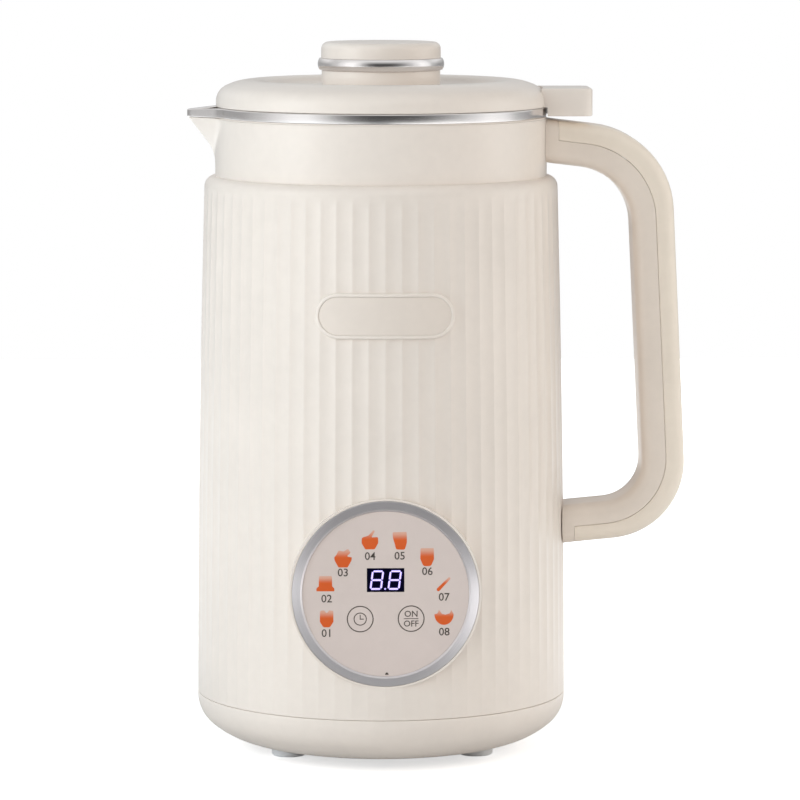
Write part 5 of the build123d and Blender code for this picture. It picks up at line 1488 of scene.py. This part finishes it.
@dataclass
class PanelMarks:
    """Printed marks, numbers, key rings and lit digits on the panel's face."""

    panel: Panel
    thickness: float = 0.03
    mark_places: tuple[tuple[Mark, float, float], ...] = (
        (Mark.CUP, -23.3, -9.8), (Mark.JAR, -23.8, 4.2), (Mark.STEAMING, -16.8, 14.6), (Mark.SPOONED, -6.2, 21.3),
        (Mark.BEAKER, 5.6, 21.3), (Mark.TUMBLER, 16.4, 14.8), (Mark.STICK, 22.8, 3.7), (Mark.SPLASH, 23.1, -9.0))
    number_places: tuple[Point, ...] = (
        (-23.2, -15.5), (-23.3, -1.7), (-16.8, 8.7), (-6.1, 15.2), (5.6, 15.3), (16.5, 9.1), (23.1, -1.2),
        (23.2, -15.1))
    number_height: float = 3.2
    key_left: Point = (-10.05, -9.95)
    key_right: Point = (10.1, -9.85)
    key_r: float = 5.3
    key_line: float = 0.42
    digit_height: float = 7.7
    digit_width: float = 4.1
    digit_line: float = 0.66
    digit_slant: float = 0.13
    digit_middles: Point = (-3.45, 3.6)
    digit_gap: float = 0.16
    dot_x: float = -0.2
    clock_r: float = 2.6
    clock_line: float = 0.36
    word_height: float = 2.5
    word_rise: float = 1.95
    divider_half: Point = (2.9, 0.14)
    tick: Point = (0.5, -32.3)

    def shape(self, mark: Mark) -> list[Point]:
        """Outline of one function mark about its own middle.

        Args:
            mark: Which mark.

        Returns:
            Closed outline in millimetres.
        """
        if mark in MARK_CORNERS:
            steps, corners = MARK_CORNERS[mark]
            return rounded(corners, steps)
        bowl = [(3.8 * math.cos(t), 0.9 + 4.3 * math.sin(t)) for t in (math.pi + math.pi * k / 20 for k in range(21))]
        return bowl + [(2.9, 2.6), (2.2, 1.2), (0.6, 0.7), (-0.8, 1.0), (-2.0, 2.7), (-2.6, 1.2)]

    def printed(self, name: str, objs: Sequence[bpy.types.Object], shop: Workshop, finish: str) -> None:
        """Lay flat pieces on the panel as one dressed object."""
        obj = gathered(name, objs)
        place(obj, self.panel.facing())
        shop.dress(obj, "housing", finish)

    def marks(self, shop: Workshop) -> None:
        """Print the eight function marks, each fading towards its top."""
        objs = []
        for mark, x, z in self.mark_places:
            obj = cut_out("mark", [self.shape(mark)], self.thickness)
            levels = [v.co.y for v in obj.data.vertices]
            low, high = min(levels), max(levels)
            rise = obj.data.attributes.new("rise", "FLOAT", "POINT")
            rise.data.foreach_set("value", [(level - low) / (high - low) for level in levels])
            objs.append(place(obj, shift(x, z)))
        self.printed("function_marks", objs, shop, "mark_orange")

    def ring(self, centre: Point, radius: float, width: float) -> bpy.types.Object:
        """Thin printed circle."""
        loops = [[(*outer, 0), (*outer, self.thickness), (*inner, self.thickness), (*inner, 0)]
                 for outer, inner in hoop(radius, width)]
        return place(swept("circle", loops, closed=True), shift(*centre))

    def bar(self, x: float, y: float, half_x: float, half_y: float) -> list[Point]:
        """Corners of a plain bar about its middle."""
        return [(x - half_x, y - half_y), (x + half_x, y - half_y), (x + half_x, y + half_y), (x - half_x, y + half_y)]

    def ink(self, shop: Workshop) -> None:
        """Print numbers, key rings and key symbols."""
        objs = []
        for number, (x, z) in enumerate(self.number_places, 1):
            label = lettered("number", f"{number:02d}", self.number_height, self.thickness)
            objs.append(place(label, shift(x, z)))
        for centre in (self.key_left, self.key_right):
            objs.append(self.ring(centre, self.key_r, self.key_line))
        x, z = self.key_left
        objs.append(self.ring(self.key_left, self.clock_r, self.clock_line))
        hands = [self.bar(x, z + 0.75, 0.18, 0.95), self.bar(x + 0.62, z - 0.02, 0.8, 0.18)]
        objs.append(cut_out("hands", hands, self.thickness))
        x, z = self.key_right
        for word, rise in (("ON", self.word_rise), ("OFF", -self.word_rise)):
            label = lettered("word", word, self.word_height, self.thickness)
            objs.append(place(label, shift(x, z + rise)))
        objs.append(cut_out("divider", [self.bar(x, z, *self.divider_half)], self.thickness))
        self.printed("panel_print", objs, shop, "mark_ink")

    def segments(self, grow: float) -> list[list[Point]]:
        """Bars of two seven-bar digits and the point between them.

        Args:
            grow: How far each bar is widened.

        Returns:
            Outlines about the display's middle.
        """
        half_w, half_h = self.digit_width / 2, self.digit_height / 2 - self.digit_line / 2
        line, gap = self.digit_line / 2 + grow, self.digit_gap - grow
        shapes = []
        for middle in self.digit_middles:
            upright = [(side * half_w, rise * half_h / 2) for side in (-1, 1) for rise in (-1, 1)]
            level = [(0.0, rise * half_h) for rise in (-1, 0, 1)]
            bars = [((x, y), False) for x, y in upright] + [((x, y), True) for x, y in level]
            for (x, y), flat in bars:
                reach = (half_w if flat else half_h / 2) - gap
                near = reach - line * 0.8
                hexagon = [(-reach, 0), (-near, -line), (near, -line), (reach, 0), (near, line), (-near, line)]
                if not flat:
                    hexagon = [(-b, a) for a, b in hexagon]
                shapes.append([(middle + x + a + self.digit_slant * (y + b), y + b) for a, b in hexagon])
        dot = self.digit_line * 0.5 + grow
        shapes.append([(self.dot_x + dot * c, -half_h + dot * s) for c, s in circle(12)])
        return shapes

    def digits(self, shop: Workshop) -> None:
        """Light the display's digits, with a painted glow of their light on a wider plate behind them."""
        # The wider lower plate is painted glow of the digits' light; the bars on it are the lit digits.
        layers = (("digit_halo", 0.2, 0.012, "digit_halo"), ("digit_bars", 0.0, 0.024, "digit_light"))
        for name, grow, rise, finish in layers:
            obj = cut_out(name, self.segments(grow), rise)
            place(obj, shift(0, self.panel.display_rise))
            place(obj, self.panel.facing())
            shop.dress(obj, "housing", finish)

    def build(self, shop: Workshop) -> None:
        """Add everything that is printed or lit."""
        self.marks(shop)
        self.ink(shop)
        self.digits(shop)
        x, z = self.tick
        tick = [(x - 0.75, z), (x + 0.75, z), (x + 0.45, z + 0.75), (x - 0.1, z + 1.0), (x - 0.55, z + 0.6)]
        self.printed("ring_tick", [cut_out("tick", [tick], 0.05)], shop, "mark_ink")


@dataclass
class Badge:
    """Bare plate in a raised oval frame on the casing's curve."""

    casing: Casing
    centre_z: float = 184.5
    width: float = 55.2
    height: float = 18.0
    rim: float = 1.5
    proud: float = 1.05
    plate_proud: float = 0.68
    play: float = 0.03
    under: float = -0.9

    def on_casing(self, x: float, z: float, height: float) -> Corner:
        """Point over the casing's ridges at a place seen from the front."""
        reach = self.casing.radius(z) + height
        return (x, -math.sqrt(reach ** 2 - x ** 2), z)

    def oval(self, inset: float) -> list[Point]:
        """Points round the long oval at an inset from the frame's outline."""
        radius = self.height / 2 - inset
        half = self.width / 2 - self.height / 2
        line = []
        for side in (1, -1):
            for k in range(25):
                t = math.pi * k / 24 - math.pi / 2
                line.append((side * (half + radius * math.cos(t)), side * radius * math.sin(t)))
            line += [(side * half * (1 - 2 * k / 16), side * radius) for k in range(1, 16)]
        return line

    def build(self, shop: Workshop) -> None:
        """Make frame and plate."""
        profile = rounded([(0, self.under, 0), (0, self.proud, 0.75), (self.rim, self.proud, 0.6),
                           (self.rim, self.under, 0)], 6)
        loops = [[self.on_casing(x, self.centre_z + z, height) for x, z in self.oval(inset)]
                 for inset, height in profile]
        frame = swept("badge_ring", loops, closed=True)
        shop.dress(frame, "housing", "trim_cream", ("badge_frame",))
        edge = self.rim + self.play
        radius, half = self.height / 2 - edge, self.width / 2 - self.height / 2
        rows = []
        for k in range(65):
            x = (half + radius) * math.sin(math.pi * (k / 64 - 0.5))
            past = max(abs(x) - half, 0)
            rows.append((x, max(math.sqrt(max(radius ** 2 - past ** 2, 0)), 0.02)))
        loops = []
        for x, reach in rows:
            heights = [reach * (2 * k / 8 - 1) for k in range(9)]
            front = [self.on_casing(x, self.centre_z + z, self.plate_proud) for z in heights]
            back = [self.on_casing(x, self.centre_z + z, self.under) for z in reversed(heights)]
            loops.append(front + back)
        plate = swept("badge_bare", loops)
        shop.dress(plate, "housing", "badge_plate", ("badge_plate",))


@dataclass
class Rail:
    """One edge line of the handle in the XZ plane: two bends between three straight runs.

    It lies inside the outer line by inset, and along the lower run by foot_inset.
    """

    inset: float
    foot_inset: float
    bend_r: float
    foot_bend_r: float
    root_top_z: float = 257.9
    top_slope: float = 0.12
    reach_top: float = 119.1
    reach_bottom: float = 123.9
    lean_height: float = 99.0
    lean_base_z: float = 120.3
    root_bottom_z: float = 85.0
    bottom_slope: float = 0.094
    cover_top_x: float = 71.8
    body_r: float = 75.5

    def lean(self) -> float:
        """Sideways lean of the grip per millimetre of height."""
        return (self.reach_bottom - self.reach_top) / self.lean_height

    def top_z(self, x: float) -> float:
        """Height of the upper run at a place."""
        drop = self.inset * math.sqrt(1 + self.top_slope ** 2)
        return self.root_top_z - drop - self.top_slope * (x - self.cover_top_x)

    def foot_z(self, x: float) -> float:
        """Height of the lower run at a place."""
        rise = self.foot_inset * math.sqrt(1 + self.bottom_slope ** 2)
        return self.root_bottom_z + rise + self.bottom_slope * (x - self.body_r)

    def corner(self, z_at_zero: float, slope: float) -> float:
        """Where a run meets the grip's line."""
        side = self.inset * math.sqrt(1 + self.lean() ** 2)
        reach = self.reach_bottom + self.lean() * self.lean_base_z - side
        return (reach - self.lean() * z_at_zero) / (1 + self.lean() * slope)

    def points(self, top_stops: Sequence[float], foot_stops: Sequence[float], bend_steps: int = 14, side_steps: int = 12
               ) -> list[Point]:
        """Points along the line, equally many for every inset.

        Args:
            top_stops: Places along the upper run, from the root outwards.
            foot_stops: Places along the lower run, towards the root.
            bend_steps: Divisions of each bend.
            side_steps: Divisions of the grip.

        Returns:
            Points from the upper to the lower root.
        """
        upper_x = self.corner(self.top_z(0), -self.top_slope)
        lower_x = self.corner(self.foot_z(0), self.bottom_slope)
        upper, lower = Vector((upper_x, self.top_z(upper_x))), Vector((lower_x, self.foot_z(lower_x)))
        first, last = Vector((0, self.top_z(0))), Vector((0, self.foot_z(0)))
        line: list[Point] = [(x, self.top_z(x)) for x in top_stops]
        bends = []
        for before, corner, after, bend in ((first, upper, lower, self.bend_r), (upper, lower, last, self.foot_bend_r)):
            points = rounded([(*before, 0), (*corner, bend), (*after, 0)], bend_steps)
            bends.append(points[1:-1])
        line += bends[0]
        a, b = Vector(bends[0][-1]), Vector(bends[1][0])
        line += [tuple(a.lerp(b, k / side_steps)) for k in range(1, side_steps)]
        line += bends[1]
        return line + [(x, self.foot_z(x)) for x in foot_stops]


@dataclass
class Handle:
    """Inner C-frame and outer strip of the handle."""

    casing: Casing
    width: float = 26.0
    grip_round: float = 5.0
    start_top_x: float = 71.8
    start_bottom_x: float = 78.9
    line_gap: float = 0.1
    seam_round: float = 0.25
    row_step: float = 0.3
    run_in: float = 3.0
    root_top_x: float = 66.0
    root_bottom_x: float = 74.0
    root_play: float = 0.03
    end_rows: int = 3
    neck_r: float = 67.5
    outer: Rail = field(default_factory=lambda: Rail(0.0, 0.0, 36.0, 31.5))
    seam: Rail = field(default_factory=lambda: Rail(7.7, 6.9, 31.6, 26.6))
    inner: Rail = field(default_factory=lambda: Rail(17.5, 15.8, 24.0, 16.5))

    def section(self, low: Point, high: Point, low_round: float, high_round: float) -> list[Corner]:
        """Rounded cross section between an inner and an outer point.

        Args:
            low: Point on the inner line.
            high: Point on the outer line.
            low_round: Radius of the two inner edges.
            high_round: Radius of the two outer edges.

        Returns:
            Closed loop of points.
        """
        span = Vector(high) - Vector(low)
        depth, way = span.length, span.normalized()
        half = self.width / 2
        loop = rounded([(0, -half, low_round), (0, half, low_round), (depth, half, high_round),
                        (depth, -half, high_round)], 5)
        return [(low[0] + way.x * a, b, low[1] + way.y * a) for a, b in loop]

    def snapped(self, loop: Sequence[Sequence[float]], upper: bool) -> list[Corner]:
        """Move an end section onto the neck or the casing."""
        moved = []
        for x, y, z in loop:
            reach = self.neck_r if upper else self.casing.radius(z)
            moved.append((math.sqrt((reach + self.root_play) ** 2 - y ** 2), y, z))
        return moved

    def build(self, shop: Workshop) -> None:
        """Make frame and cover."""
        gap = self.line_gap
        step, run = self.row_step, self.run_in
        top_end, foot_end = self.start_top_x - gap, self.start_bottom_x - gap
        top = [self.root_top_x, top_end - step, top_end, top_end, self.start_top_x + run]
        foot = [self.start_bottom_x + run, foot_end, foot_end, foot_end - step, self.root_bottom_x]
        outer, inner = self.outer.points(top, foot), self.inner.points(top, foot)
        seam = replace(self.seam, inset=self.seam.inset + gap, foot_inset=self.seam.foot_inset + gap).points(top, foot)
        count = len(outer)
        loops = []
        for k in range(count):
            full = k < self.end_rows or k >= count - self.end_rows
            edge, bend = (outer[k], self.grip_round) if full else (seam[k], self.seam_round)
            loops.append(self.section(inner[k], edge, self.grip_round, bend))
        loops[0] = self.snapped(loops[0], True)
        loops[-1] = self.snapped(loops[-1], False)
        frame = swept("handle_core", loops)
        shop.dress(frame, "housing", "handle_pale", ("handle_frame",))
        step, run = self.row_step, self.run_in
        top = [self.start_top_x, self.start_top_x + step, self.start_top_x + run]
        foot = [self.start_bottom_x + run, self.start_bottom_x + step, self.start_bottom_x]
        outer, seam = self.outer.points(top, foot), self.seam.points(top, foot)
        loops = [self.section(low, high, self.seam_round, self.grip_round) for low, high in zip(seam, outer)]
        cover = swept("handle_strip", loops)
        shop.dress(cover, "housing", "handle_tan", ("handle_cover",))


@dataclass
class Lid:
    """Domed lid with a dished top and a lug over the handle."""

    radius: float = 67.1
    bottom_z: float = 263.5
    edge_straight: float = 2.2
    crest_r: float = 53.0
    crown: float = 8.6
    edge_round: float = 6.9
    dish_depth: float = 3.2
    dish_r: float = 42.0
    wall: float = 2.2
    hole_r: float = 20.0
    lug_reach: float = 85.5
    lug_width: float = 28.0
    lug_drop: float = 3.6
    lug_height: float = 11.25
    lug_round: float = 4.6
    lug_low_round: float = 0.4
    lug_top_round: float = 1.1
    cut_over: float = 5.0
    rim_clear_r: float = 68.5
    liner_sharp: float = 8.0

    def build(self, shop: Workshop) -> None:
        """Make the lid and dress what hangs under it."""
        edge_z = self.bottom_z + self.edge_straight
        crest_z = edge_z + self.crown
        dish_z = crest_z - self.dish_depth
        under_z = dish_z - self.wall
        width = self.radius - self.crest_r
        line = [(self.radius - 0.3, self.bottom_z), (self.radius, self.bottom_z + 0.3)]
        line += oval_quarter((self.crest_r, edge_z), width, self.crown, self.edge_round, 0, 12)
        line += s_curve((self.crest_r, crest_z), (self.dish_r, dish_z), 10)
        line += [(self.hole_r + 0.3, dish_z), (self.hole_r, dish_z - 0.3), (self.hole_r, under_z),
                 (self.dish_r, under_z)]
        line += s_curve((self.dish_r, under_z), (self.crest_r, crest_z - self.wall), 6)
        under = oval_quarter((self.crest_r, edge_z), width, self.crown, self.edge_round, -self.wall, 6)
        line += list(reversed(under))[1:]
        line += [(self.radius - self.wall, self.bottom_z)]
        shell = lathe("lid_skin", line, 192)
        shell = boolean(shell, self.lug(), Cut.TOGETHER)
        shell.name = "lid_skin"
        shop.dress(shell, "lid", "trim_cream", ("lid_shell",), 35.0)
        shop.keep("lid_liner", "lid", "liner_plastic", self.liner_sharp)
        shop.keep("lid_seal", "lid", "silicone")
        shop.keep("lid_screws", "lid", "screw_steel")
        shop.keep("lid_magnet", "lid", "bracket_steel")

    def lug(self) -> bpy.types.Object:
        """Rounded block that reaches from the lid's edge over the handle."""
        low_z, high_z = self.bottom_z - self.lug_drop, self.bottom_z - self.lug_drop + self.lug_height
        low, top = self.lug_low_round, self.lug_top_round
        loops = [self.lug_level(low * (1 - s), low_z + low * (1 - c)) for s, c in quarter(3)]
        loops += [self.lug_level(top * (1 - c), high_z - top * (1 - s)) for s, c in quarter(6)]
        lug = swept("lug", loops)
        for name, radius, end_z in (("clear", self.rim_clear_r, self.bottom_z),
                                    ("inside", self.radius - self.wall / 2, high_z + self.cut_over)):
            lug = boolean(lug, rod(name, radius, (0, 0, low_z - self.cut_over), (0, 0, end_z), 192), Cut.AWAY)
        return lug

    def lug_level(self, inset: float, z: float) -> list[Corner]:
        """One level of the lug, drawn in at its free sides."""
        half, reach, bend = self.lug_width / 2 - inset, self.lug_reach - inset, self.lug_round - inset
        corners = [(self.crest_r, -half, 0), (reach, -half, bend), (reach, half, bend), (self.crest_r, half, 0)]
        return [(x, y, z) for x, y in rounded(corners, 6)]


@dataclass
class Knob:
    """Vent knob: pedestal, steel band and cap."""

    bottom_z: float = 271.4
    base_r: float = 24.1
    stem_r: float = 19.7
    stem_inner_r: float = 16.7
    stem_z: float = 266.1
    band_z: float = 278.4
    band_edge_r: float = 25.0
    band_r: float = 25.7
    band_inner_r: float = 21.65
    cap_z: float = 283.0
    cap_r: float = 24.3
    cap_top_z: float = 289.6
    cap_round: float = 2.8
    plug_inner_r: float = 19.0
    plug_r: float = 21.5

    def build(self, shop: Workshop) -> None:
        """Make the three pieces."""
        base = rounded([(self.stem_inner_r, self.stem_z, 0.2), (self.stem_r, self.stem_z, 0.3),
                        (self.stem_r, self.bottom_z, 0), (self.base_r, self.bottom_z, 1.6),
                        (self.base_r, self.band_z, 0.25), (self.stem_inner_r, self.band_z, 0)], 4)
        shop.dress(lathe("knob_foot", base, 160), "vent_knob", "trim_cream", ("knob_base",))
        middle = (self.band_z + self.cap_z) / 2
        half, bulge = (self.cap_z - self.band_z) / 2, self.band_r - self.band_edge_r
        radius = (half ** 2 + bulge ** 2) / (2 * bulge)
        span = math.asin(half / radius)
        band = [(self.band_r - radius + radius * math.cos(t), middle + radius * math.sin(t))
                for t in (span * (k / 8 - 1) for k in range(17))]
        band += [(self.band_inner_r, self.cap_z), (self.band_inner_r, self.band_z)]
        shop.dress(lathe("knob_ring", band, 192), "vent_knob", "bright_steel", ("knob_band",))
        cap = rounded([(self.plug_inner_r, self.band_z, 0), (self.plug_r, self.band_z, 0), (self.plug_r, self.cap_z, 0),
                       (self.cap_r, self.cap_z, 0.3), (self.cap_r, self.cap_top_z, self.cap_round),
                       (0, self.cap_top_z, 0),
                       (0, self.cap_z, 0), (self.plug_inner_r, self.cap_z, 0)], 8)
        shop.dress(lathe("knob_top", cap, 160), "vent_knob", "trim_cream", ("knob_cap",))
        shop.keep("valve_weight", "valve", "bright_steel")


class Works:
    """Heater, motor, blade, electrics and inlet: CAD nodes with their finishes."""

    KEPT = {
        "blade_set": ("rotor", "steel", "vessel_steel"),
        "blade_nut": ("rotor", "bright_steel", "bright_steel"),
        "seat_sleeve": ("housing", "steel", "vessel_steel"),
        "overflow_electrode": ("housing", "steel", "bright_steel"),
        "electrode_gasket": ("housing", "silicone", "silicone"),
        "inlet_socket": ("housing", "dark_plastic", "dark_plastic"),
        "inlet_pins": ("housing", "copper", "bright_steel"),
        "inlet_screws": ("housing", "screw_steel", "screw_steel"),
    }
    COATED = {
        "bright_steel": ("motor_shaft", "seat_nut"),
        "screw_steel": ("motor_screws", "motor_nuts", "handle_screws", "lower_bearing", "upper_bearing"),
        "bracket_steel": ("upper_bracket", "lower_bracket"),
        "laminations": ("stator_core", "rotor_core"),
        "copper": ("stator_coils", "rotor_winding", "commutator", "touch_contacts"),
        "bronze": ("seat_bush",),
        "aluminium": ("heating_plate", "heating_tube"),
        "dark_rubber": ("motor_grommets", "shaft_seal"),
        "dark_plastic": ("cooling_fan", "air_duct", "brush_holders", "temperature_sensors", "display_module",
                         "lid_switch"),
        "circuit_board": ("control_board", "power_board"),
        "lamp_orange": ("indicator_lamps",),
    }

    def build(self, shop: Workshop) -> None:
        """Dress the inner nodes."""
        for node, (body, slot, finish) in self.KEPT.items():
            shop.keep(node, body, finish)
        for finish, nodes in self.COATED.items():
            shop.coat(finish, *nodes)
            log.info("%s: %d inner nodes", finish, len(nodes))


# ---------------------------------------------------------------- studio


@dataclass
class Studio:
    """Camera, lamps, world and floor."""

    distance: float = 1.81
    height: float = 0.3525
    turn: float = 1.4
    pitch: float = 6.6
    lens: float = 200.0
    shift: float = 0.0238
    ambient: float = 0.348
    cards: tuple[Point, ...] = (
        (-180, 0.5), (180, 0.5), (-150, 0.4), (-115, 0.42), (-93, 0.62), (-79, 0.9), (-66, 1.15), (-54, 1.18),
        (-43, 0.88), (-32, 0.44), (-21, 0.16), (-9, 0.08), (10, 0.08), (21, 0.11), (32, 0.2), (43, 0.36), (54, 0.58),
        (66, 0.86), (80, 1.15), (93, 1.05), (110, 0.5), (131, 0.32), (155, 0.35))
    ceiling: float = 0.85
    aim: Corner = (0, 0, 0.16)
    floor_half: float = 1500.0
    floor_lift: float = 0.6
    floor_grey: float = 0.92
    floor_grey_in_gloss: float = 0.55

    def camera(self) -> None:
        """Place the camera at the photograph's viewing angle."""
        data = bpy.data.cameras.new("camera")
        data.lens = self.lens
        data.sensor_width = 36.0
        data.shift_x = self.shift
        camera = linked("camera", data)
        angle = math.radians(self.turn)
        camera.location = (-self.distance * math.sin(angle), -self.distance * math.cos(angle), self.height)
        camera.rotation_euler = (math.radians(90 - self.pitch), 0, -angle)
        bpy.context.scene.camera = camera

    def lamp(self, name: str, place_at: Sequence[float], size: Point, power: float, tint: Colour) -> None:
        """Add a rectangular lamp that faces the object.

        Args:
            name: Name of the lamp.
            place_at: Its place in metres.
            size: Width and height in metres.
            power: Power in watts.
            tint: Colour of its light.
        """
        data = bpy.data.lights.new(name, "AREA")
        data.shape = "RECTANGLE"
        data.size, data.size_y = size
        data.energy = power
        data.color = tint
        lamp = linked(name, data)
        lamp.visible_glossy = False
        lamp.location = place_at
        lamp.rotation_euler = (Vector(self.aim) - Vector(place_at)).to_track_quat("-Z", "Y").to_euler()

    def world(self) -> None:
        """Light the world: white to the eye, plain for diffuse light, with cards and a ceiling that metal shows."""
        world = bpy.data.worlds.new("world")
        world.use_nodes = True
        bpy.context.scene.world = world
        graph = Graph(world.node_tree)
        back = world.node_tree.nodes["Background"]
        path = graph.add("ShaderNodeLightPath")
        way = graph.add("ShaderNodeSeparateXYZ", {0: graph.add("ShaderNodeTexCoord").outputs["Generated"]}).outputs
        turn = graph.maths("ARCTAN2", way[0], graph.maths("MULTIPLY", way[1], -1.0))
        cards = graph.add("ShaderNodeValToRGB", {"Fac": graph.maths("MULTIPLY_ADD", turn, 0.5 / math.pi, 0.5)})
        stops = cards.color_ramp.elements
        for stop in self.cards[2:]:
            stops.new(stop[0] / 360 + 0.5)
        for element, (angle, level) in zip(stops, sorted(self.cards)):
            element.position = angle / 360 + 0.5
            element.color = (level, level, level, 1)
        cards.color_ramp.interpolation = "EASE"
        low, high, rear = graph.ramp(way[2], 0.03, 0.35), graph.ramp(way[2], 0.3, 0.8), graph.ramp(way[1], 0.0, 0.5)
        over = graph.maths("MAXIMUM", graph.maths("MULTIPLY", low, rear), high)
        card = cards.outputs[0]
        behind = graph.maths("MULTIPLY_ADD", over, graph.maths("SUBTRACT", self.ceiling, card), card)
        seen = graph.maths("MAXIMUM", path.outputs["Is Glossy Ray"], path.outputs["Is Transmission Ray"])
        glossy = graph.maths("MULTIPLY_ADD", seen, graph.maths("SUBTRACT", behind, self.ambient), self.ambient)
        eye = graph.maths("MULTIPLY_ADD", path.outputs["Is Camera Ray"], graph.maths("SUBTRACT", 1.0, glossy), glossy)
        graph.link(eye, back.inputs["Strength"])
        back.inputs["Color"].default_value = (1, 1, 1, 1)

    def floor(self) -> None:
        """Lay a plain pale floor that turns into the white background away from the object."""
        half = self.floor_half
        corners = [(-half, -half, 0), (half, -half, 0), (half, half, 0), (-half, half, 0)]
        floor = mesh_object("floor", corners, [(0, 1, 2, 3)])
        material, graph, shader = new_material("floor_white")
        where = graph.add("ShaderNodeTexCoord").outputs["Object"]
        reach = graph.add("ShaderNodeVectorMath", {0: where}, operation="LENGTH").outputs["Value"]
        lift = graph.ramp(reach, 0.08, 0.26, self.floor_lift, 1.0, soft=True)
        path = graph.add("ShaderNodeLightPath")
        x, y, _ = graph.add("ShaderNodeSeparateXYZ", {0: where}).outputs
        behind, right, left = graph.ramp(y, -0.1, 0.4), graph.ramp(x, 0.03, 0.16), graph.ramp(x, -0.04, -0.4, 0.0, 0.7)
        pale = graph.maths("MAXIMUM", behind, graph.maths("MAXIMUM", right, left))
        glossy = graph.maths("MULTIPLY", path.outputs["Is Glossy Ray"], pale)
        seen = graph.maths("MAXIMUM", path.outputs["Is Camera Ray"], glossy)
        graph.link(graph.maths("MULTIPLY", seen, lift), shader.inputs["Emission Strength"])
        shader.inputs["Emission Color"].default_value = (1, 1, 1, 1)
        plain, gloss = [(grey, grey, grey, 1) for grey in (self.floor_grey, self.floor_grey_in_gloss)]
        dimmed = graph.mix(path.outputs["Is Glossy Ray"], plain, gloss)
        graph.link(dimmed, shader.inputs["Base Color"])
        shader.inputs["Roughness"].default_value = 0.7
        shader.inputs["Specular IOR Level"].default_value = 0.2
        floor.data.materials.append(material)

    def build(self) -> None:
        """Set the stage."""
        bpy.context.scene.view_settings.view_transform = "Standard"
        self.lamp("key", (-1.45, -0.75, 0.75), (0.8, 1.3), 16.8, (0.815, 0.93, 1.0))
        self.lamp("side", (1.6, 0.1, 0.6), (0.9, 1.2), 9.6, (1.0, 1.0, 0.96))
        self.lamp("front", (-0.6, -1.9, 1.0), (0.9, 0.9), 9.1, (1.0, 0.98, 0.945))
        self.lamp("right", (1.3, -1.2, 0.7), (0.8, 1.2), 3.0, (1.0, 0.985, 0.95))
        self.world()
        self.floor()


def main() -> None:
    """Build the dressed part in order."""
    logging.basicConfig(level=logging.INFO, format="%(message)s")
    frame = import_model()
    studio = Studio()
    studio.camera()
    shop = Workshop(frame)
    casing = Casing()
    casing.build(shop)
    Base(casing).build(shop)
    neck = Neck()
    neck.build(shop)
    Vessel(neck).build(shop)
    panel = Panel()
    panel.build(shop)
    PanelMarks(panel).build(shop)
    Badge(casing).build(shop)
    Handle(casing).build(shop)
    Lid().build(shop)
    Knob().build(shop)
    Works().build(shop)
    studio.build()


if __name__ == "__main__":
    main()
